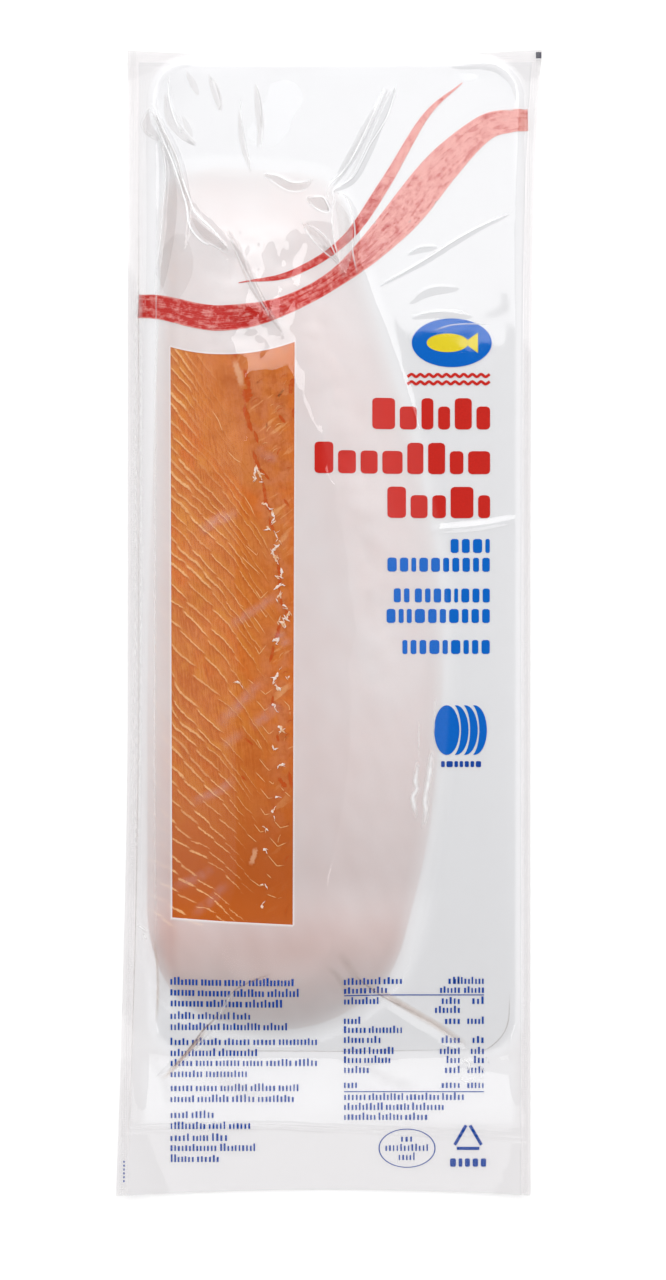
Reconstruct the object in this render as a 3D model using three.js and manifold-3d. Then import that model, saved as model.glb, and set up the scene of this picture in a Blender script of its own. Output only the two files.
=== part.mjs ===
// A vacuum-sealed pack that holds one side of smoked salmon on a stiff white board.
// The pack lies on its back: +X is the pack's right, +Y is its head (the fish's tail end) and +Z is up.
// The origin is on the surface that the pack lies on, below the middle of its outline. Sizes are in millimetres.
//
// The closed clear bag is one solid: its underside is flat below the board, its margins lift a little,
// and its upper side follows the board, the fish and the folds that the film makes when the air is drawn out.

import * as THREE from "three";
import { SimplexNoise } from "three/addons/math/SimplexNoise.js";
import { mergeVertices } from "three/addons/utils/BufferGeometryUtils.js";
import Module from "manifold-3d";

const wasm = await Module();
wasm.setup();

// The bag's cut outline: a long rectangle whose four edges are drawn inwards by the vacuum.
const bag = {
  halfWidth: 120.8,
  halfLength: 343.2,
  endSag: 3.1, // how far the middle of each end edge is pulled in
  footFlare: 7.0, // the left edge runs out to this at the foot
  footFlareLength: 285,
  footFlareStart: -60,
  headFlare: 7.0, // and the right edge to this at the head
  headFlareLength: 75,
  film: 0.7, // both films together, at the sealed margins
};

// The stiff board below the fish.
const board = {
  left: -103.5,
  right: 111.5,
  bottom: -256.8,
  top: 334.0,
  cornerRadius: 20,
  thickness: 1.6,
  filmReach: 6.5, // how far outside its edge the film comes down
};

// The side of salmon, seen from above. The tail end points to the head of the pack.
const fish = {
  outline: [
    [-97, 264], [-45, 272], [-3, 266], [12, 244], [21, 206], [37, 156],
    [53, 102], [66, 36], [69, -36], [64, -104], [52, -166], [33, -216],
    [-16, -243], [-80, -233], [-107, -194], [-110, -120], [-109, 10], [-103, 180],
  ],
  outlineSamples: 180,
  thickness: 20.5, // over the loin
  tailThickness: 3.5,
  tailFrom: 150, // along the pack: where the fish begins to thin towards its tail
  tailEnd: 268,
  headFrom: -110, // and where it begins to thin towards its head end
  headEnd: -243,
  headThinning: 0.14,
  crestX: -30, // the ridge of the loin runs nearer the left edge
  bellyHalfWidth: 104,
  bellyThinning: 0.25,
  rimOutside: 9, // from the fish's edge out to where the film lies on the board
  rimInside: 58, // from the fish's edge in to its full height
  rimInsideHead: 30, // the same at the head end, which is blunter
  headRimFrom: -150,
  headRimTo: -232,
};

// Folds of the film. Each is a ridge from one point to another, or a valley where its height is negative.
const folds = [
  { from: [-107, 305], to: [-84, 250], height: 4.2, width: 6.0 },
  { from: [-84, 250], to: [-56, 216], height: 3.0, width: 6.5 },
  { from: [-100, 285], to: [-99, 205], height: 2.2, width: 6.5 },
  { from: [-64, 238], to: [-36, 176], height: -2.0, width: 6.5 },
  { from: [-40, 270], to: [4, 262], height: -2.4, width: 6.0 },
  { from: [2, 254], to: [28, 296], height: 3.2, width: 6.0 },
  { from: [28, 296], to: [44, 332], height: 2.0, width: 6.0 },
  { from: [-18, 242], to: [4, 212], height: -1.8, width: 6.5 },
  { from: [40, 205], to: [109, 246], height: 1.8, width: 6.0 },
  { from: [62, 55], to: [110, 61], height: 2.2, width: 6.0 },
  { from: [-99, -278], to: [-40, -211], height: 3.4, width: 7.0 },
  { from: [10, -217], to: [90, -264], height: 3.0, width: 7.0 },
];

// The margins leave the board a little above its underside, and then lift, most at the corners.
const margin = {
  atBoard: 0.5,
  boardInset: 1, // from the board's edge in to where its underside lies flat on the surface
  boardReach: 4,
  lift: 0.8,
  liftReach: 30,
  cornerLift: 3.0,
  waveHeight: 0.7,
  waveLength: 92,
};

// Loose film between the board and the foot seal, and slight unevenness everywhere.
const slack = {
  footHeight: 2.2,
  footStart: -262,
  footSeal: -305,
  dimpleHeight: 0.45,
  dimpleSize: 34,
};

const mesh = { columns: 40, rows: 104, underColumns: 20, underRows: 50 };

function smoothStep(low, high, value) {
  const t = THREE.MathUtils.clamp((value - low) / (high - low), 0, 1);
  return t * t * (3 - 2 * t);
}

function leftEdge(y) {
  const below = Math.max(0, bag.footFlareStart - y) / bag.footFlareLength;
  return -bag.halfWidth - bag.footFlare * below ** 1.5;
}

function rightEdge(y) {
  return bag.halfWidth + bag.headFlare * Math.exp((y - bag.halfLength) / bag.headFlareLength);
}

function endEdge(x) {
  return bag.halfLength - bag.endSag * (1 - Math.min(1, Math.abs(x) / bag.halfWidth) ** 2);
}

// Turns a place on the unit square, from -1 to 1 both ways, into a place inside the bag's outline.
function placeInBag(u, v) {
  const y = v * bag.halfLength;
  const x = THREE.MathUtils.lerp(leftEdge(y), rightEdge(y), (u + 1) / 2);
  return [x, v * endEdge(x)];
}

// How far a point is inside the board's round-cornered outline, negative outside it.
function insideBoard(x, y) {
  const r = board.cornerRadius;
  const px = Math.abs(x - (board.left + board.right) / 2) - (board.right - board.left) / 2 + r;
  const py = Math.abs(y - (board.top + board.bottom) / 2) - (board.top - board.bottom) / 2 + r;
  return r - Math.hypot(Math.max(px, 0), Math.max(py, 0)) - Math.min(Math.max(px, py), 0);
}

const fishOutline = new THREE.CatmullRomCurve3(
  fish.outline.map(([x, y]) => new THREE.Vector3(x, y, 0)),
  true,
).getPoints(fish.outlineSamples);

// How far a point is inside the fish's outline, negative outside it.
function insideFish(x, y) {
  let inside = false;
  let nearest = Infinity;
  for (let i = 1; i < fishOutline.length; i++) {
    const a = fishOutline[i - 1];
    const b = fishOutline[i];
    if (a.y > y !== b.y > y && x < a.x + ((b.x - a.x) * (y - a.y)) / (b.y - a.y)) inside = !inside;
    nearest = Math.min(nearest, toSegment(x, y, [a.x, a.y], [b.x, b.y]).distance);
  }
  return inside ? nearest : -nearest;
}

// The distance to a straight line between two points, and how far along it the nearest place is.
function toSegment(x, y, from, to) {
  const dx = to[0] - from[0];
  const dy = to[1] - from[1];
  const along = THREE.MathUtils.clamp(
    ((x - from[0]) * dx + (y - from[1]) * dy) / (dx * dx + dy * dy), 0, 1);
  return { distance: Math.hypot(x - from[0] - along * dx, y - from[1] - along * dy), along };
}

// How far in from the fish's edge it comes to its full height.
function rimReach(y) {
  const toHead = smoothStep(fish.headRimFrom, fish.headRimTo, y);
  return THREE.MathUtils.lerp(fish.rimInside, fish.rimInsideHead, toHead);
}

// The fish's thickness: full along the loin, less at both ends, and thinner towards the belly edge.
function fishThickness(x, y) {
  const toTail = smoothStep(fish.tailFrom, fish.tailEnd, y);
  const toHead = smoothStep(fish.headFrom, fish.headEnd, y);
  const lengthwise = THREE.MathUtils.lerp(fish.thickness, fish.tailThickness, toTail) *
    (1 - fish.headThinning * toHead);
  const across = Math.min(1, Math.abs(x - fish.crestX) / fish.bellyHalfWidth);
  return lengthwise * (1 - fish.bellyThinning * across ** 2);
}

function foldHeight(x, y) {
  let sum = 0;
  for (const fold of folds) {
    const { distance, along } = toSegment(x, y, fold.from, fold.to);
    const taper = 0.35 + 0.65 * Math.sin(Math.PI * along);
    sum += fold.height * taper * Math.exp(-((distance / fold.width) ** 2));
  }
  return sum;
}

// A seeded generator, so that the noise below is the same each time.
function seededRandom(seed) {
  return {
    random() {
      seed = (seed * 16807) % 2147483647;
      return seed / 2147483647;
    },
  };
}

const noise = new SimplexNoise(seededRandom(41));

// How far the underside is above the surface that the pack lies on.
function undersideHeight(x, y) {
  const outside = Math.max(0, margin.boardInset - insideBoard(x, y));
  const offBoard = smoothStep(0, margin.boardReach, outside);
  const free = smoothStep(0, margin.liftReach, outside);
  const wave = Math.sin((Math.PI * 2 * (x + 0.6 * y)) / margin.waveLength);
  const corner = (Math.abs(x) / bag.halfWidth) ** 4 * (Math.abs(y) / bag.halfLength) ** 10;
  return offBoard * (margin.atBoard + corner * margin.cornerLift) + free * (margin.lift + margin.waveHeight * wave);
}

// How far the film's upper side is above the underside.
function filmHeight(x, y) {
  const onBoard = smoothStep(-board.filmReach, 0.5, insideBoard(x, y));
  const onFish = smoothStep(-fish.rimOutside, rimReach(y), insideFish(x, y));
  const pastBoard = smoothStep(slack.footStart + 12, slack.footStart - 8, y);
  const beforeSeal = smoothStep(slack.footSeal, slack.footSeal + 14, y);
  const inMargins = smoothStep(bag.halfWidth, bag.halfWidth - 16, Math.abs(x));
  const footSlack = slack.footHeight * pastBoard * beforeSeal * inMargins;
  const dimples = slack.dimpleHeight * noise.noise(x / slack.dimpleSize, y / slack.dimpleSize);
  const free = smoothStep(-2, 6, insideBoard(x, y));
  const raised = onBoard * board.thickness + onFish * fishThickness(x, y) + footSlack;
  const wrinkled = (foldHeight(x, y) + dimples * free) * Math.max(onBoard, pastBoard * inMargins);
  return bag.film + Math.max(0, raised + wrinkled);
}

// A flat block whose top and bottom are grids, as a solid, with each vertex moved by the shape given.
function gridSolid(columns, rows, shape) {
  const block = new THREE.BoxGeometry(2, 2, 2, columns, rows, 1);
  block.deleteAttribute("normal");
  block.deleteAttribute("uv");
  const merged = mergeVertices(block);
  const place = merged.getAttribute("position");
  for (let i = 0; i < place.count; i++) {
    place.setXYZ(i, ...shape(place.getX(i), place.getY(i), place.getZ(i) > 0));
  }
  return new wasm.Manifold(
    new wasm.Mesh({
      numProp: 3,
      vertProperties: new Float32Array(place.array),
      triVerts: new Uint32Array(merged.index.array),
    }),
  );
}

// The bag is a block below its upper skin, cut by what lies below its underside.
function makePouch() {
  const depth = 20;
  const overhang = 1.06;
  const upper = gridSolid(mesh.columns, mesh.rows, (u, v, top) => {
    const [x, y] = placeInBag(u, v);
    return [x, y, top ? undersideHeight(x, y) + filmHeight(x, y) : -depth];
  });
  const below = gridSolid(mesh.underColumns, mesh.underRows, (u, v, top) => {
    const x = u * bag.halfWidth * overhang;
    const y = v * bag.halfLength * overhang;
    return [x, y, top ? undersideHeight(x, y) : -2 * depth];
  });
  const made = upper.subtract(below).getMesh();
  const geometry = new THREE.BufferGeometry();
  geometry.setAttribute("position", new THREE.BufferAttribute(made.vertProperties, 3));
  geometry.setIndex(new THREE.BufferAttribute(made.triVerts, 1));
  geometry.computeVertexNormals();

  const film = new THREE.MeshStandardMaterial({ color: 0xe4dfe1, roughness: 0.18, metalness: 0 });
  const pouch = new THREE.Mesh(geometry, film);
  pouch.name = "pouch";
  return pouch;
}

const pack = new THREE.Group();
pack.add(makePouch());

export default pack;
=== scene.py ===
import math

import bpy
import numpy as np
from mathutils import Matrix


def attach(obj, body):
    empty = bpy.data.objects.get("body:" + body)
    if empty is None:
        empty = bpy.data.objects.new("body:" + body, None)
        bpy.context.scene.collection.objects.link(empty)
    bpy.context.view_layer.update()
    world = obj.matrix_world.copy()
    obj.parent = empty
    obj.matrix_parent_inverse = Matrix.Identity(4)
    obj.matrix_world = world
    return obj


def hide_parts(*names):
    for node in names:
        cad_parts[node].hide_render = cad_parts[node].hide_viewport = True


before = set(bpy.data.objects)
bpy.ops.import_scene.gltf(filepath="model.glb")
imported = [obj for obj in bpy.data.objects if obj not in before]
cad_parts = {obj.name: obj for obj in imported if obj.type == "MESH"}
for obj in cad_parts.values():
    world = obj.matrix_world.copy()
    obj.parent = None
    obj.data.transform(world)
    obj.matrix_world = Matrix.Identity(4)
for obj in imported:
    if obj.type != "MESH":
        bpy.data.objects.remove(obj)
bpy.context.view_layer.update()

mm = 0.001
scene = bpy.context.scene
scene.view_settings.view_transform = "Standard"
# light goes to and fro many times between the film, its print and the board
scene.cycles.transparent_max_bounces = 32
scene.cycles.diffuse_bounces = 8

# The camera looks straight down on the pack, with the fish's tail end at the top of the frame.
cameraSet = {"middle": (2.4, -10.2), "distance": 3000, "frameHeight": 768, "sensor": 36}


def addCamera():
    x, y = cameraSet["middle"]
    bpy.ops.object.camera_add(location=(x * mm, y * mm, cameraSet["distance"] * mm), rotation=(0, 0, 0))
    camera = bpy.context.active_object
    camera.data.sensor_width = cameraSet["sensor"]
    camera.data.lens = cameraSet["sensor"] * cameraSet["distance"] / cameraSet["frameHeight"]
    camera.data.clip_end = 20
    scene.camera = camera


def deselectAll():
    bpy.ops.object.select_all(action="DESELECT")


def pickOnly(piece):
    deselectAll()
    piece.select_set(True)
    bpy.context.view_layer.objects.active = piece


def pointsOf(piece):
    flat = np.empty(len(piece.data.vertices) * 3)
    piece.data.vertices.foreach_get("co", flat)
    return flat.reshape(-1, 3)


def setPoints(piece, x, y, z):
    piece.data.vertices.foreach_set("co", (np.stack([x, y, z], axis=1) * mm).ravel())
    piece.data.update()


def addMask(piece, name, values):
    mask = piece.data.attributes.new(name, "FLOAT", "POINT")
    mask.data.foreach_set("value", np.asarray(values, np.float32))


def addGrid(name, columns, rows):
    # a flat grid from -1 to 1 each way, that the piece is then shaped from
    deselectAll()
    bpy.ops.mesh.primitive_grid_add(x_subdivisions=columns, y_subdivisions=rows, size=2)
    grid = bpy.context.active_object
    grid.name = name
    return grid


def addStrip(line, offsets, lift=0.0):
    # a strip along a line, in millimetres: each of its rows is so far to the line's left
    line = np.asarray(line, float)
    offsets = np.broadcast_to(np.asarray(offsets, float), (len(line), np.shape(offsets)[-1]))
    strip = addGrid("strip", len(line) - 1, offsets.shape[1] - 1)
    flat = (pointsOf(strip) + 1) / 2
    step = np.rint(flat[:, 0] * (len(line) - 1)).astype(int)
    row = np.rint(flat[:, 1] * (offsets.shape[1] - 1)).astype(int)
    way = np.gradient(line, axis=0)
    way /= np.maximum(np.hypot(way[:, :1], way[:, 1:]), 1e-6)
    aside = offsets[step, row]
    high = np.broadcast_to(lift, len(line))[step]
    setPoints(strip, line[step, 0] - way[step, 1] * aside, line[step, 1] + way[step, 0] * aside, high)
    return strip, step, row


def drape(piece, height):
    # sets the piece on a surface, and keeps each point's own height above it
    x, y, lift = pointsOf(piece).T / mm
    setPoints(piece, x, y, height(x, y) + lift)


def evenly(line, step):
    # the same line, with its points so far apart
    line = np.asarray(line, float)
    along = np.concatenate([[0], np.cumsum(np.hypot(*np.diff(line, axis=0).T))])
    at = np.linspace(0, along[-1], max(3, int(along[-1] / step) + 1))
    return np.stack([np.interp(at, along, line[:, 0]), np.interp(at, along, line[:, 1])], axis=1)


def joinAll(parts, name):
    deselectAll()
    for part in parts:
        part.select_set(True)
    bpy.context.view_layer.objects.active = parts[0]
    bpy.ops.object.join()
    parts[0].name = name
    return parts[0]


def finishPiece(piece, material, smooth=True):
    piece.data.materials.clear()
    piece.data.materials.append(material)
    pickOnly(piece)
    if smooth:
        bpy.ops.object.shade_smooth()
    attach(piece, "root")


def smoothStep(low, high, value):
    t = np.clip((value - low) / (high - low), 0, 1)
    return t * t * (3 - 2 * t)


def makeNoise(seed):
    # smooth gradient noise, about -0.7 to 0.7, the same each run
    size = 64
    angle = np.random.default_rng(seed).uniform(0, 2 * math.pi, (size, size))
    gx, gy = np.cos(angle), np.sin(angle)

    def noiseAt(x, y):
        ix, iy = np.floor(x).astype(int), np.floor(y).astype(int)
        fx, fy = x - ix, y - iy
        sx, sy = fx ** 3 * (fx * (fx * 6 - 15) + 10), fy ** 3 * (fy * (fy * 6 - 15) + 10)

        def corner(dx, dy):
            a, b = (ix + dx) % size, (iy + dy) % size
            return gx[a, b] * (fx - dx) + gy[a, b] * (fy - dy)

        low = corner(0, 0) * (1 - sx) + corner(1, 0) * sx
        high = corner(0, 1) * (1 - sx) + corner(1, 1) * sx
        return low * (1 - sy) + high * sy

    return noiseAt


def alongLine(x, y, line):
    # for each point: its distance to a polyline, which side it is on, and how far along it is, from 0 to 1
    line = np.asarray(line, float)
    lengths = np.hypot(*np.diff(line, axis=0).T)
    starts = np.concatenate([[0], np.cumsum(lengths)])
    best = np.full(x.shape, 1e9)
    side = np.zeros(x.shape)
    along = np.zeros(x.shape)
    for (ax, ay), (bx, by), length, start in zip(line[:-1], line[1:], lengths, starts):
        dx, dy = (bx - ax) / length, (by - ay) / length
        t = np.clip((x - ax) * dx + (y - ay) * dy, 0, length)
        px, py = x - ax - t * dx, y - ay - t * dy
        distance = np.hypot(px, py)
        nearer = distance < best
        best = np.where(nearer, distance, best)
        side = np.where(nearer, np.sign(dx * py - dy * px), side)
        along = np.where(nearer, (start + t) / starts[-1], along)
    return best, side, along


def softCurve(points, steps=8):
    # a smooth curve through the points, as a list of closer points
    points = np.asarray(points, float)
    padded = np.vstack([2 * points[0] - points[1], points, 2 * points[-1] - points[-2]])
    made = []
    for a, b, c, d in zip(padded[:-3], padded[1:-2], padded[2:-1], padded[3:]):
        for t in np.arange(steps) / steps:
            made.append(0.5 * (2 * b + (c - a) * t + (2 * a - 5 * b + 4 * c - d) * t ** 2
                               + (3 * b - a - 3 * c + d) * t ** 3))
    made.append(points[-1])
    return np.array(made)


# The pack's form, in millimetres: the outline, board and fish are the part's own, and the margins and the
# loose film at the foot lie a little lower.
bag = {
    "halfWidth": 120.8, "halfLength": 343.2, "endSag": 3.1,
    "footFlare": 7.0, "footFlareLength": 285, "footFlareStart": -60,
    "headFlare": 7.0, "headFlareLength": 75, "film": 0.7,
}
board = {
    "left": -103.5, "right": 111.5, "bottom": -256.8, "top": 334.0,
    "cornerRadius": 20, "thickness": 1.6, "filmReach": 6.5,
}
fish = {
    "outline": [
        (-97, 264), (-45, 272), (-3, 266), (12, 244), (21, 206), (37, 156),
        (53, 102), (66, 36), (69, -36), (64, -104), (52, -166), (33, -216),
        (-16, -243), (-80, -233), (-107, -194), (-110, -120), (-109, 10), (-103, 180),
    ],
    "thickness": 20.5, "tailThickness": 3.5, "tailFrom": 150, "tailEnd": 268, "headEnd": -243,
    "headThinning": 0.14, "headFrom": -110, "crestX": -30, "bellyHalfWidth": 104, "bellyThinning": 0.25,
    "rimOutside": 9, "rimInside": 58, "rimInsideHead": 30, "headRimFrom": -150, "headRimTo": -232,
}
margin = {
    "atBoard": 0.2, "boardInset": 1, "boardReach": 4, "lift": 0.8, "liftReach": 30, "cornerLift": 3.0,
    "waveHeight": 0.7, "waveLength": 92, "footShare": 0.25, "footFrom": 240, "footTo": 262,
}
slack = {"footHeight": 1.7, "footStart": -257, "footSeal": -305, "footSlope": 0.020}


def leftEdge(y):
    return -bag["halfWidth"] - bag["footFlare"] * (
        np.maximum(0, bag["footFlareStart"] - y) / bag["footFlareLength"]) ** 1.5


def rightEdge(y):
    return bag["halfWidth"] + bag["headFlare"] * np.exp((y - bag["halfLength"]) / bag["headFlareLength"])


def endEdge(x):
    return bag["halfLength"] - bag["endSag"] * (1 - np.minimum(1, np.abs(x) / bag["halfWidth"]) ** 2)


def insideBoard(x, y):
    r = board["cornerRadius"]
    px = np.abs(x - (board["left"] + board["right"]) / 2) - (board["right"] - board["left"]) / 2 + r
    py = np.abs(y - (board["top"] + board["bottom"]) / 2) - (board["top"] - board["bottom"]) / 2 + r
    return r - np.hypot(np.maximum(px, 0), np.maximum(py, 0)) - np.minimum(np.maximum(px, py), 0)


fishLine = softCurve(fish["outline"][-2:] + fish["outline"] + fish["outline"][:3])[16:-16]


def insideFish(x, y):
    line = fishLine
    best = np.full(x.shape, 1e9)
    inside = np.zeros(x.shape, bool)
    for (ax, ay), (bx, by) in zip(line[:-1], line[1:]):
        dx, dy = bx - ax, by - ay
        t = np.clip(((x - ax) * dx + (y - ay) * dy) / (dx * dx + dy * dy), 0, 1)
        best = np.minimum(best, np.hypot(x - ax - t * dx, y - ay - t * dy))
        if ay != by:
            inside ^= ((ay > y) != (by > y)) & (x < ax + dx * (y - ay) / dy)
    return np.where(inside, best, -best)


def fishThickness(x, y):
    toTail = smoothStep(fish["tailFrom"], fish["tailEnd"], y)
    toHead = smoothStep(-fish["headFrom"], -fish["headEnd"], -y)
    lengthwise = fish["thickness"] + (fish["tailThickness"] - fish["thickness"]) * toTail
    across = np.minimum(1, np.abs(x - fish["crestX"]) / fish["bellyHalfWidth"])
    return lengthwise * (1 - fish["headThinning"] * toHead) * (1 - fish["bellyThinning"] * across ** 2)


def rimReach(y):
    # how far in from the fish's edge it is at its full height: less at the head end
    toHead = smoothStep(-fish["headRimFrom"], -fish["headRimTo"], -y)
    return fish["rimInside"] + (fish["rimInsideHead"] - fish["rimInside"]) * toHead


def undersideHeight(x, y):
    outside = np.maximum(0, margin["boardInset"] - insideBoard(x, y))
    offBoard = smoothStep(0, margin["boardReach"], outside)
    # the flap at the foot lies nearly flat
    atFoot = 1 - (1 - margin["footShare"]) * smoothStep(margin["footFrom"], margin["footTo"], -y)
    free = smoothStep(0, margin["liftReach"], outside) * atFoot
    wave = np.sin(2 * math.pi * (x + 0.6 * y) / margin["waveLength"])
    corner = (np.abs(x) / bag["halfWidth"]) ** 4 * (np.abs(y) / bag["halfLength"]) ** 10
    lifted = margin["atBoard"] + corner * margin["cornerLift"]
    return offBoard * lifted + free * (margin["lift"] + margin["waveHeight"] * wave)


# Folds of the film. A "ridge" is a rounded line, a "fin" is a doubled line with a groove between,
# and a "pleat" is a long lens: a wide flat face on its line's right, and a steep narrow one on its left.
folds = [
    # from the fish's tail to the head of the pack, on the left
    ("pleat", [(-105, 306), (-97, 278), (-91, 250), (-88, 222)], 1.1, 9.0),
    ("fin", [(-106, 310), (-102, 299), (-96, 283), (-91, 269), (-86, 255)], 1.2, 1.2),
    ("ridge", [(-103.8, 296), (-100.2, 286), (-98.0, 270.6), (-98.8, 259.8), (-101.2, 230), (-103.2, 214)],
     0.9, 1.2),
    ("pleat", [(-87, 254), (-82, 242), (-74, 233), (-60, 223)], 0.8, 5.2),
    ("pleat", [(-61.4, 236), (-54.3, 222), (-46, 203), (-33, 181)], 0.55, 2.9),
    ("pleat", [(-39.5, 269.2), (-29.4, 265.5), (-21, 261.6), (-11, 263)], 0.42, 3.4),
    ("pleat", [(-13.5, 254.5), (-6, 251.5), (0, 247)], 0.5, 4.6),
    ("pleat", [(-16, 240), (-7.5, 232), (-1, 224.5), (5, 216)], 0.5, 3.2),
    ("pleat", [(-54, 308), (-52.6, 292), (-47.0, 270)], 0.3, 1.9),
    ("pleat", [(-86, 330), (-82, 321)], 0.2, 3.0),
    ("pleat", [(-72.4, 329), (-66.0, 307.0)], 0.28, 3.2),
    ("pleat", [(-44.6, 324), (-42.4, 292)], 0.3, 3.0),
    ("pleat", [(-87.5, 303), (-82, 291)], 0.2, 2.6),
    ("pleat", [(-97.5, 318), (-95.6, 306), (-91, 296), (-80, 286)], 0.35, 4.0),
    # and on the right
    ("pleat", [(35, 322), (19, 291), (8, 272), (1, 261)], 0.8, 3.2),
    ("pleat", [(1, 258), (14, 266), (24, 285), (40, 323)], 0.8, 3.4),
    ("pleat", [(6, 258), (10, 248), (10, 228), (9, 206)], 1.1, 7.0),
    ("pleat", [(28.4, 201), (56.3, 216.3), (84, 233.5), (110, 246)], 0.42, 1.7),
    ("pleat", [(47, 221), (56, 224.6), (66, 225)], 0.3, 2.2),
    ("pleat", [(49, 192), (60, 199), (78, 201)], 0.4, 3.0),
    ("pleat", [(50, 183), (64, 185.5), (86, 184)], 0.35, 2.4),
    ("ridge", [(62.4, 55.8), (88, 58), (112, 62)], 0.7, 1.8),
    # loose film at the foot
    ("pleat", [(-40, -209), (-56, -216), (-65.4, -231), (-76, -245.5), (-91, -263), (-104, -273)], 0.6, 4.0),
    ("ridge", [(12, -206), (22, -216), (42, -229), (64, -241), (87, -257)], 0.14, 4.0),
    ("ridge", [(-120, -302), (-42.6, -300), (6.6, -302), (82, -305.4), (118, -307.8)], 0.4, 0.9),
    ("ridge", [(-120, -305), (-42.6, -303), (6.6, -305), (82, -308.4), (118, -310.8)], 0.4, 0.9),
]


def nearLine(x, y, line, reach):
    # the points in a box round the line: elsewhere the distance to it needn't be measured
    box = np.array(line, float)
    return ((x > box[:, 0].min() - reach) & (x < box[:, 0].max() + reach)
            & (y > box[:, 1].min() - reach) & (y < box[:, 1].max() + reach))


def foldHeight(x, y):
    total = np.zeros(x.shape)
    for kind, line, height, width in folds:
        near = nearLine(x, y, line, 4 * width)
        d, side, t = alongLine(x[near], y[near], softCurve(line) if len(line) > 2 else line)
        swell = np.clip(np.sin(math.pi * t), 0, 1) ** 0.6
        if kind == "ridge":
            shape = (0.25 + 0.75 * swell) * np.exp(-(d / width) ** 2)
        elif kind == "fin":
            gap = width * (0.5 + 0.6 * t)
            shape = (0.4 + 0.6 * swell) * (np.exp(-((d - gap) / (0.6 * width)) ** 2)
                                           + 0.35 * np.exp(-(d / (3 * width)) ** 2))
        else:
            lens = width * np.maximum(swell, 0.05)
            across = d * side / lens
            crest = 0.7
            slopes = np.minimum((across + 1) / (1 + crest), (1 - across) / (1 - crest))
            shape = swell * np.clip(slopes, 0, 1)
        total[near] += height * shape
    return total


softWaves = makeNoise(11)
smallWaves = makeNoise(12)


def onFishHeight(x, y):
    # the film's height over the fish: its flat top ends along an uneven line
    inside = insideFish(x, y)
    uneven = smoothStep(20, 44, inside) * smoothStep(-90, 0, y)
    inside = inside + uneven * (7 * softWaves(x / 26, y / 26 + 3) + 2.4 * smallWaves(x / 8, y / 8))
    bent = y + uneven * (26 * softWaves(x / 30 + 7, y / 34) + 5 * smallWaves(x / 9 + 4, y / 9))
    return smoothStep(-fish["rimOutside"], rimReach(y), inside) * fishThickness(x, bent)


# Where the film is uneven, and how much: (lowest y, full from y, full to y, highest y, waves, size of a wave)
unevenness = {
    "head": (165, 235, 330, 336, 0.40, 52),
    "foot": (-343, -320, -268, -256, 0.34, 44),
    "side": (0.14, 0.34, 50), "ripples": (0.055, 15),
}


def wavesOf(x, y):
    total = np.zeros(x.shape)
    for place in ("head", "foot"):
        low, fullFrom, fullTo, high, height, size = unevenness[place]
        there = smoothStep(low, fullFrom, y) * smoothStep(-high, -fullTo, -y)
        bend = softWaves(x / 70 + 5, y / 70)
        total += there * height * softWaves(x / size + bend, y / size - bend)
        total += there * 0.12 * height * (y > 0) * smallWaves(x / (0.4 * size) + bend, y / (0.4 * size))
    height, tailHeight, size = unevenness["side"]
    bend = 0.6 * softWaves(x / 60 + 9, y / 60)
    height = height + (tailHeight - height) * smoothStep(60, 150, y)
    ripple, rippleSize = unevenness["ripples"]
    ripple = ripple * smoothStep(90, 150, y)
    total = total + ripple * smallWaves(x / rippleSize + 2 * bend, y / rippleSize - bend)
    return total + height * smallWaves(x / size + bend, y / size + 3 - bend)


def filmTop(x, y, folded=True):
    inBoard = insideBoard(x, y)
    onBoard = smoothStep(-board["filmReach"], 0.5, inBoard)
    pastBoard = smoothStep(-slack["footStart"] - 17, -slack["footStart"] + 1, -y)
    beforeSeal = smoothStep(slack["footSeal"], slack["footSeal"] + 14, y)
    inMargins = smoothStep(-bag["halfWidth"], -bag["halfWidth"] + 16, -np.abs(x))
    # the loose film slopes down towards the seal
    fall = slack["footSlope"] * (y - slack["footStart"])
    sloping = np.clip(slack["footHeight"] + fall, 0, slack["footHeight"])
    footSlack = sloping * (1 - onBoard) * pastBoard * beforeSeal * inMargins
    free = np.maximum(smoothStep(-2, 6, inBoard), pastBoard * inMargins)
    raised = onBoard * board["thickness"] + onFishHeight(x, y) + footSlack
    wrinkled = wavesOf(x, y) * free
    crumpled = np.maximum(foldHeight(x, y) * np.maximum(onBoard, pastBoard), -0.7 * (raised - onBoard))
    wrinkled = wrinkled + (crumpled if folded else np.minimum(0, crumpled))
    return undersideHeight(x, y) + bag["film"] + np.maximum(0, raised + wrinkled)


# The printed film's layout: its strips and seals, the window's edges, and how many faces each field gets.
layout = {
    "stripLeft": 6.6, "stripRight": 5.4, "printTop": 336.2, "footSeal": -303,
    "windowLeft": (-95.0, -93.8), "windowRight": (-20.4, -21.6),
    "windowBottom": (-176.2, -180.0), "windowTop": (165.4, 167.4), "windowTopSag": 6.2,
    "windowFrom": (-95, -176), "windowSize": (74.5, 341), "windowEndsGuess": (-178, 163),
    "columns": [5, 16, 54, 98, 5],
    "rows": [26, 74, 120, 126, 5],
}


def windowAcross(y):
    # the window's left and right edges at a height on the pack
    t = np.clip((y - layout["windowFrom"][1]) / layout["windowSize"][1], -1, 2)
    return [low + (high - low) * t for high, low in (layout["windowLeft"], layout["windowRight"])]


def windowEnds(x):
    # the window's bottom and top edges at a place across the pack: the top edge sags between its corners
    inWindow = np.clip((x - layout["windowFrom"][0]) / layout["windowSize"][0], 0, 1)
    bottom = layout["windowBottom"][0] + (layout["windowBottom"][1] - layout["windowBottom"][0]) * inWindow
    top = layout["windowTop"][0] + (layout["windowTop"][1] - layout["windowTop"][0]) * inWindow
    return bottom, top - 4 * layout["windowTopSag"] * inWindow * (1 - inWindow)


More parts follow.
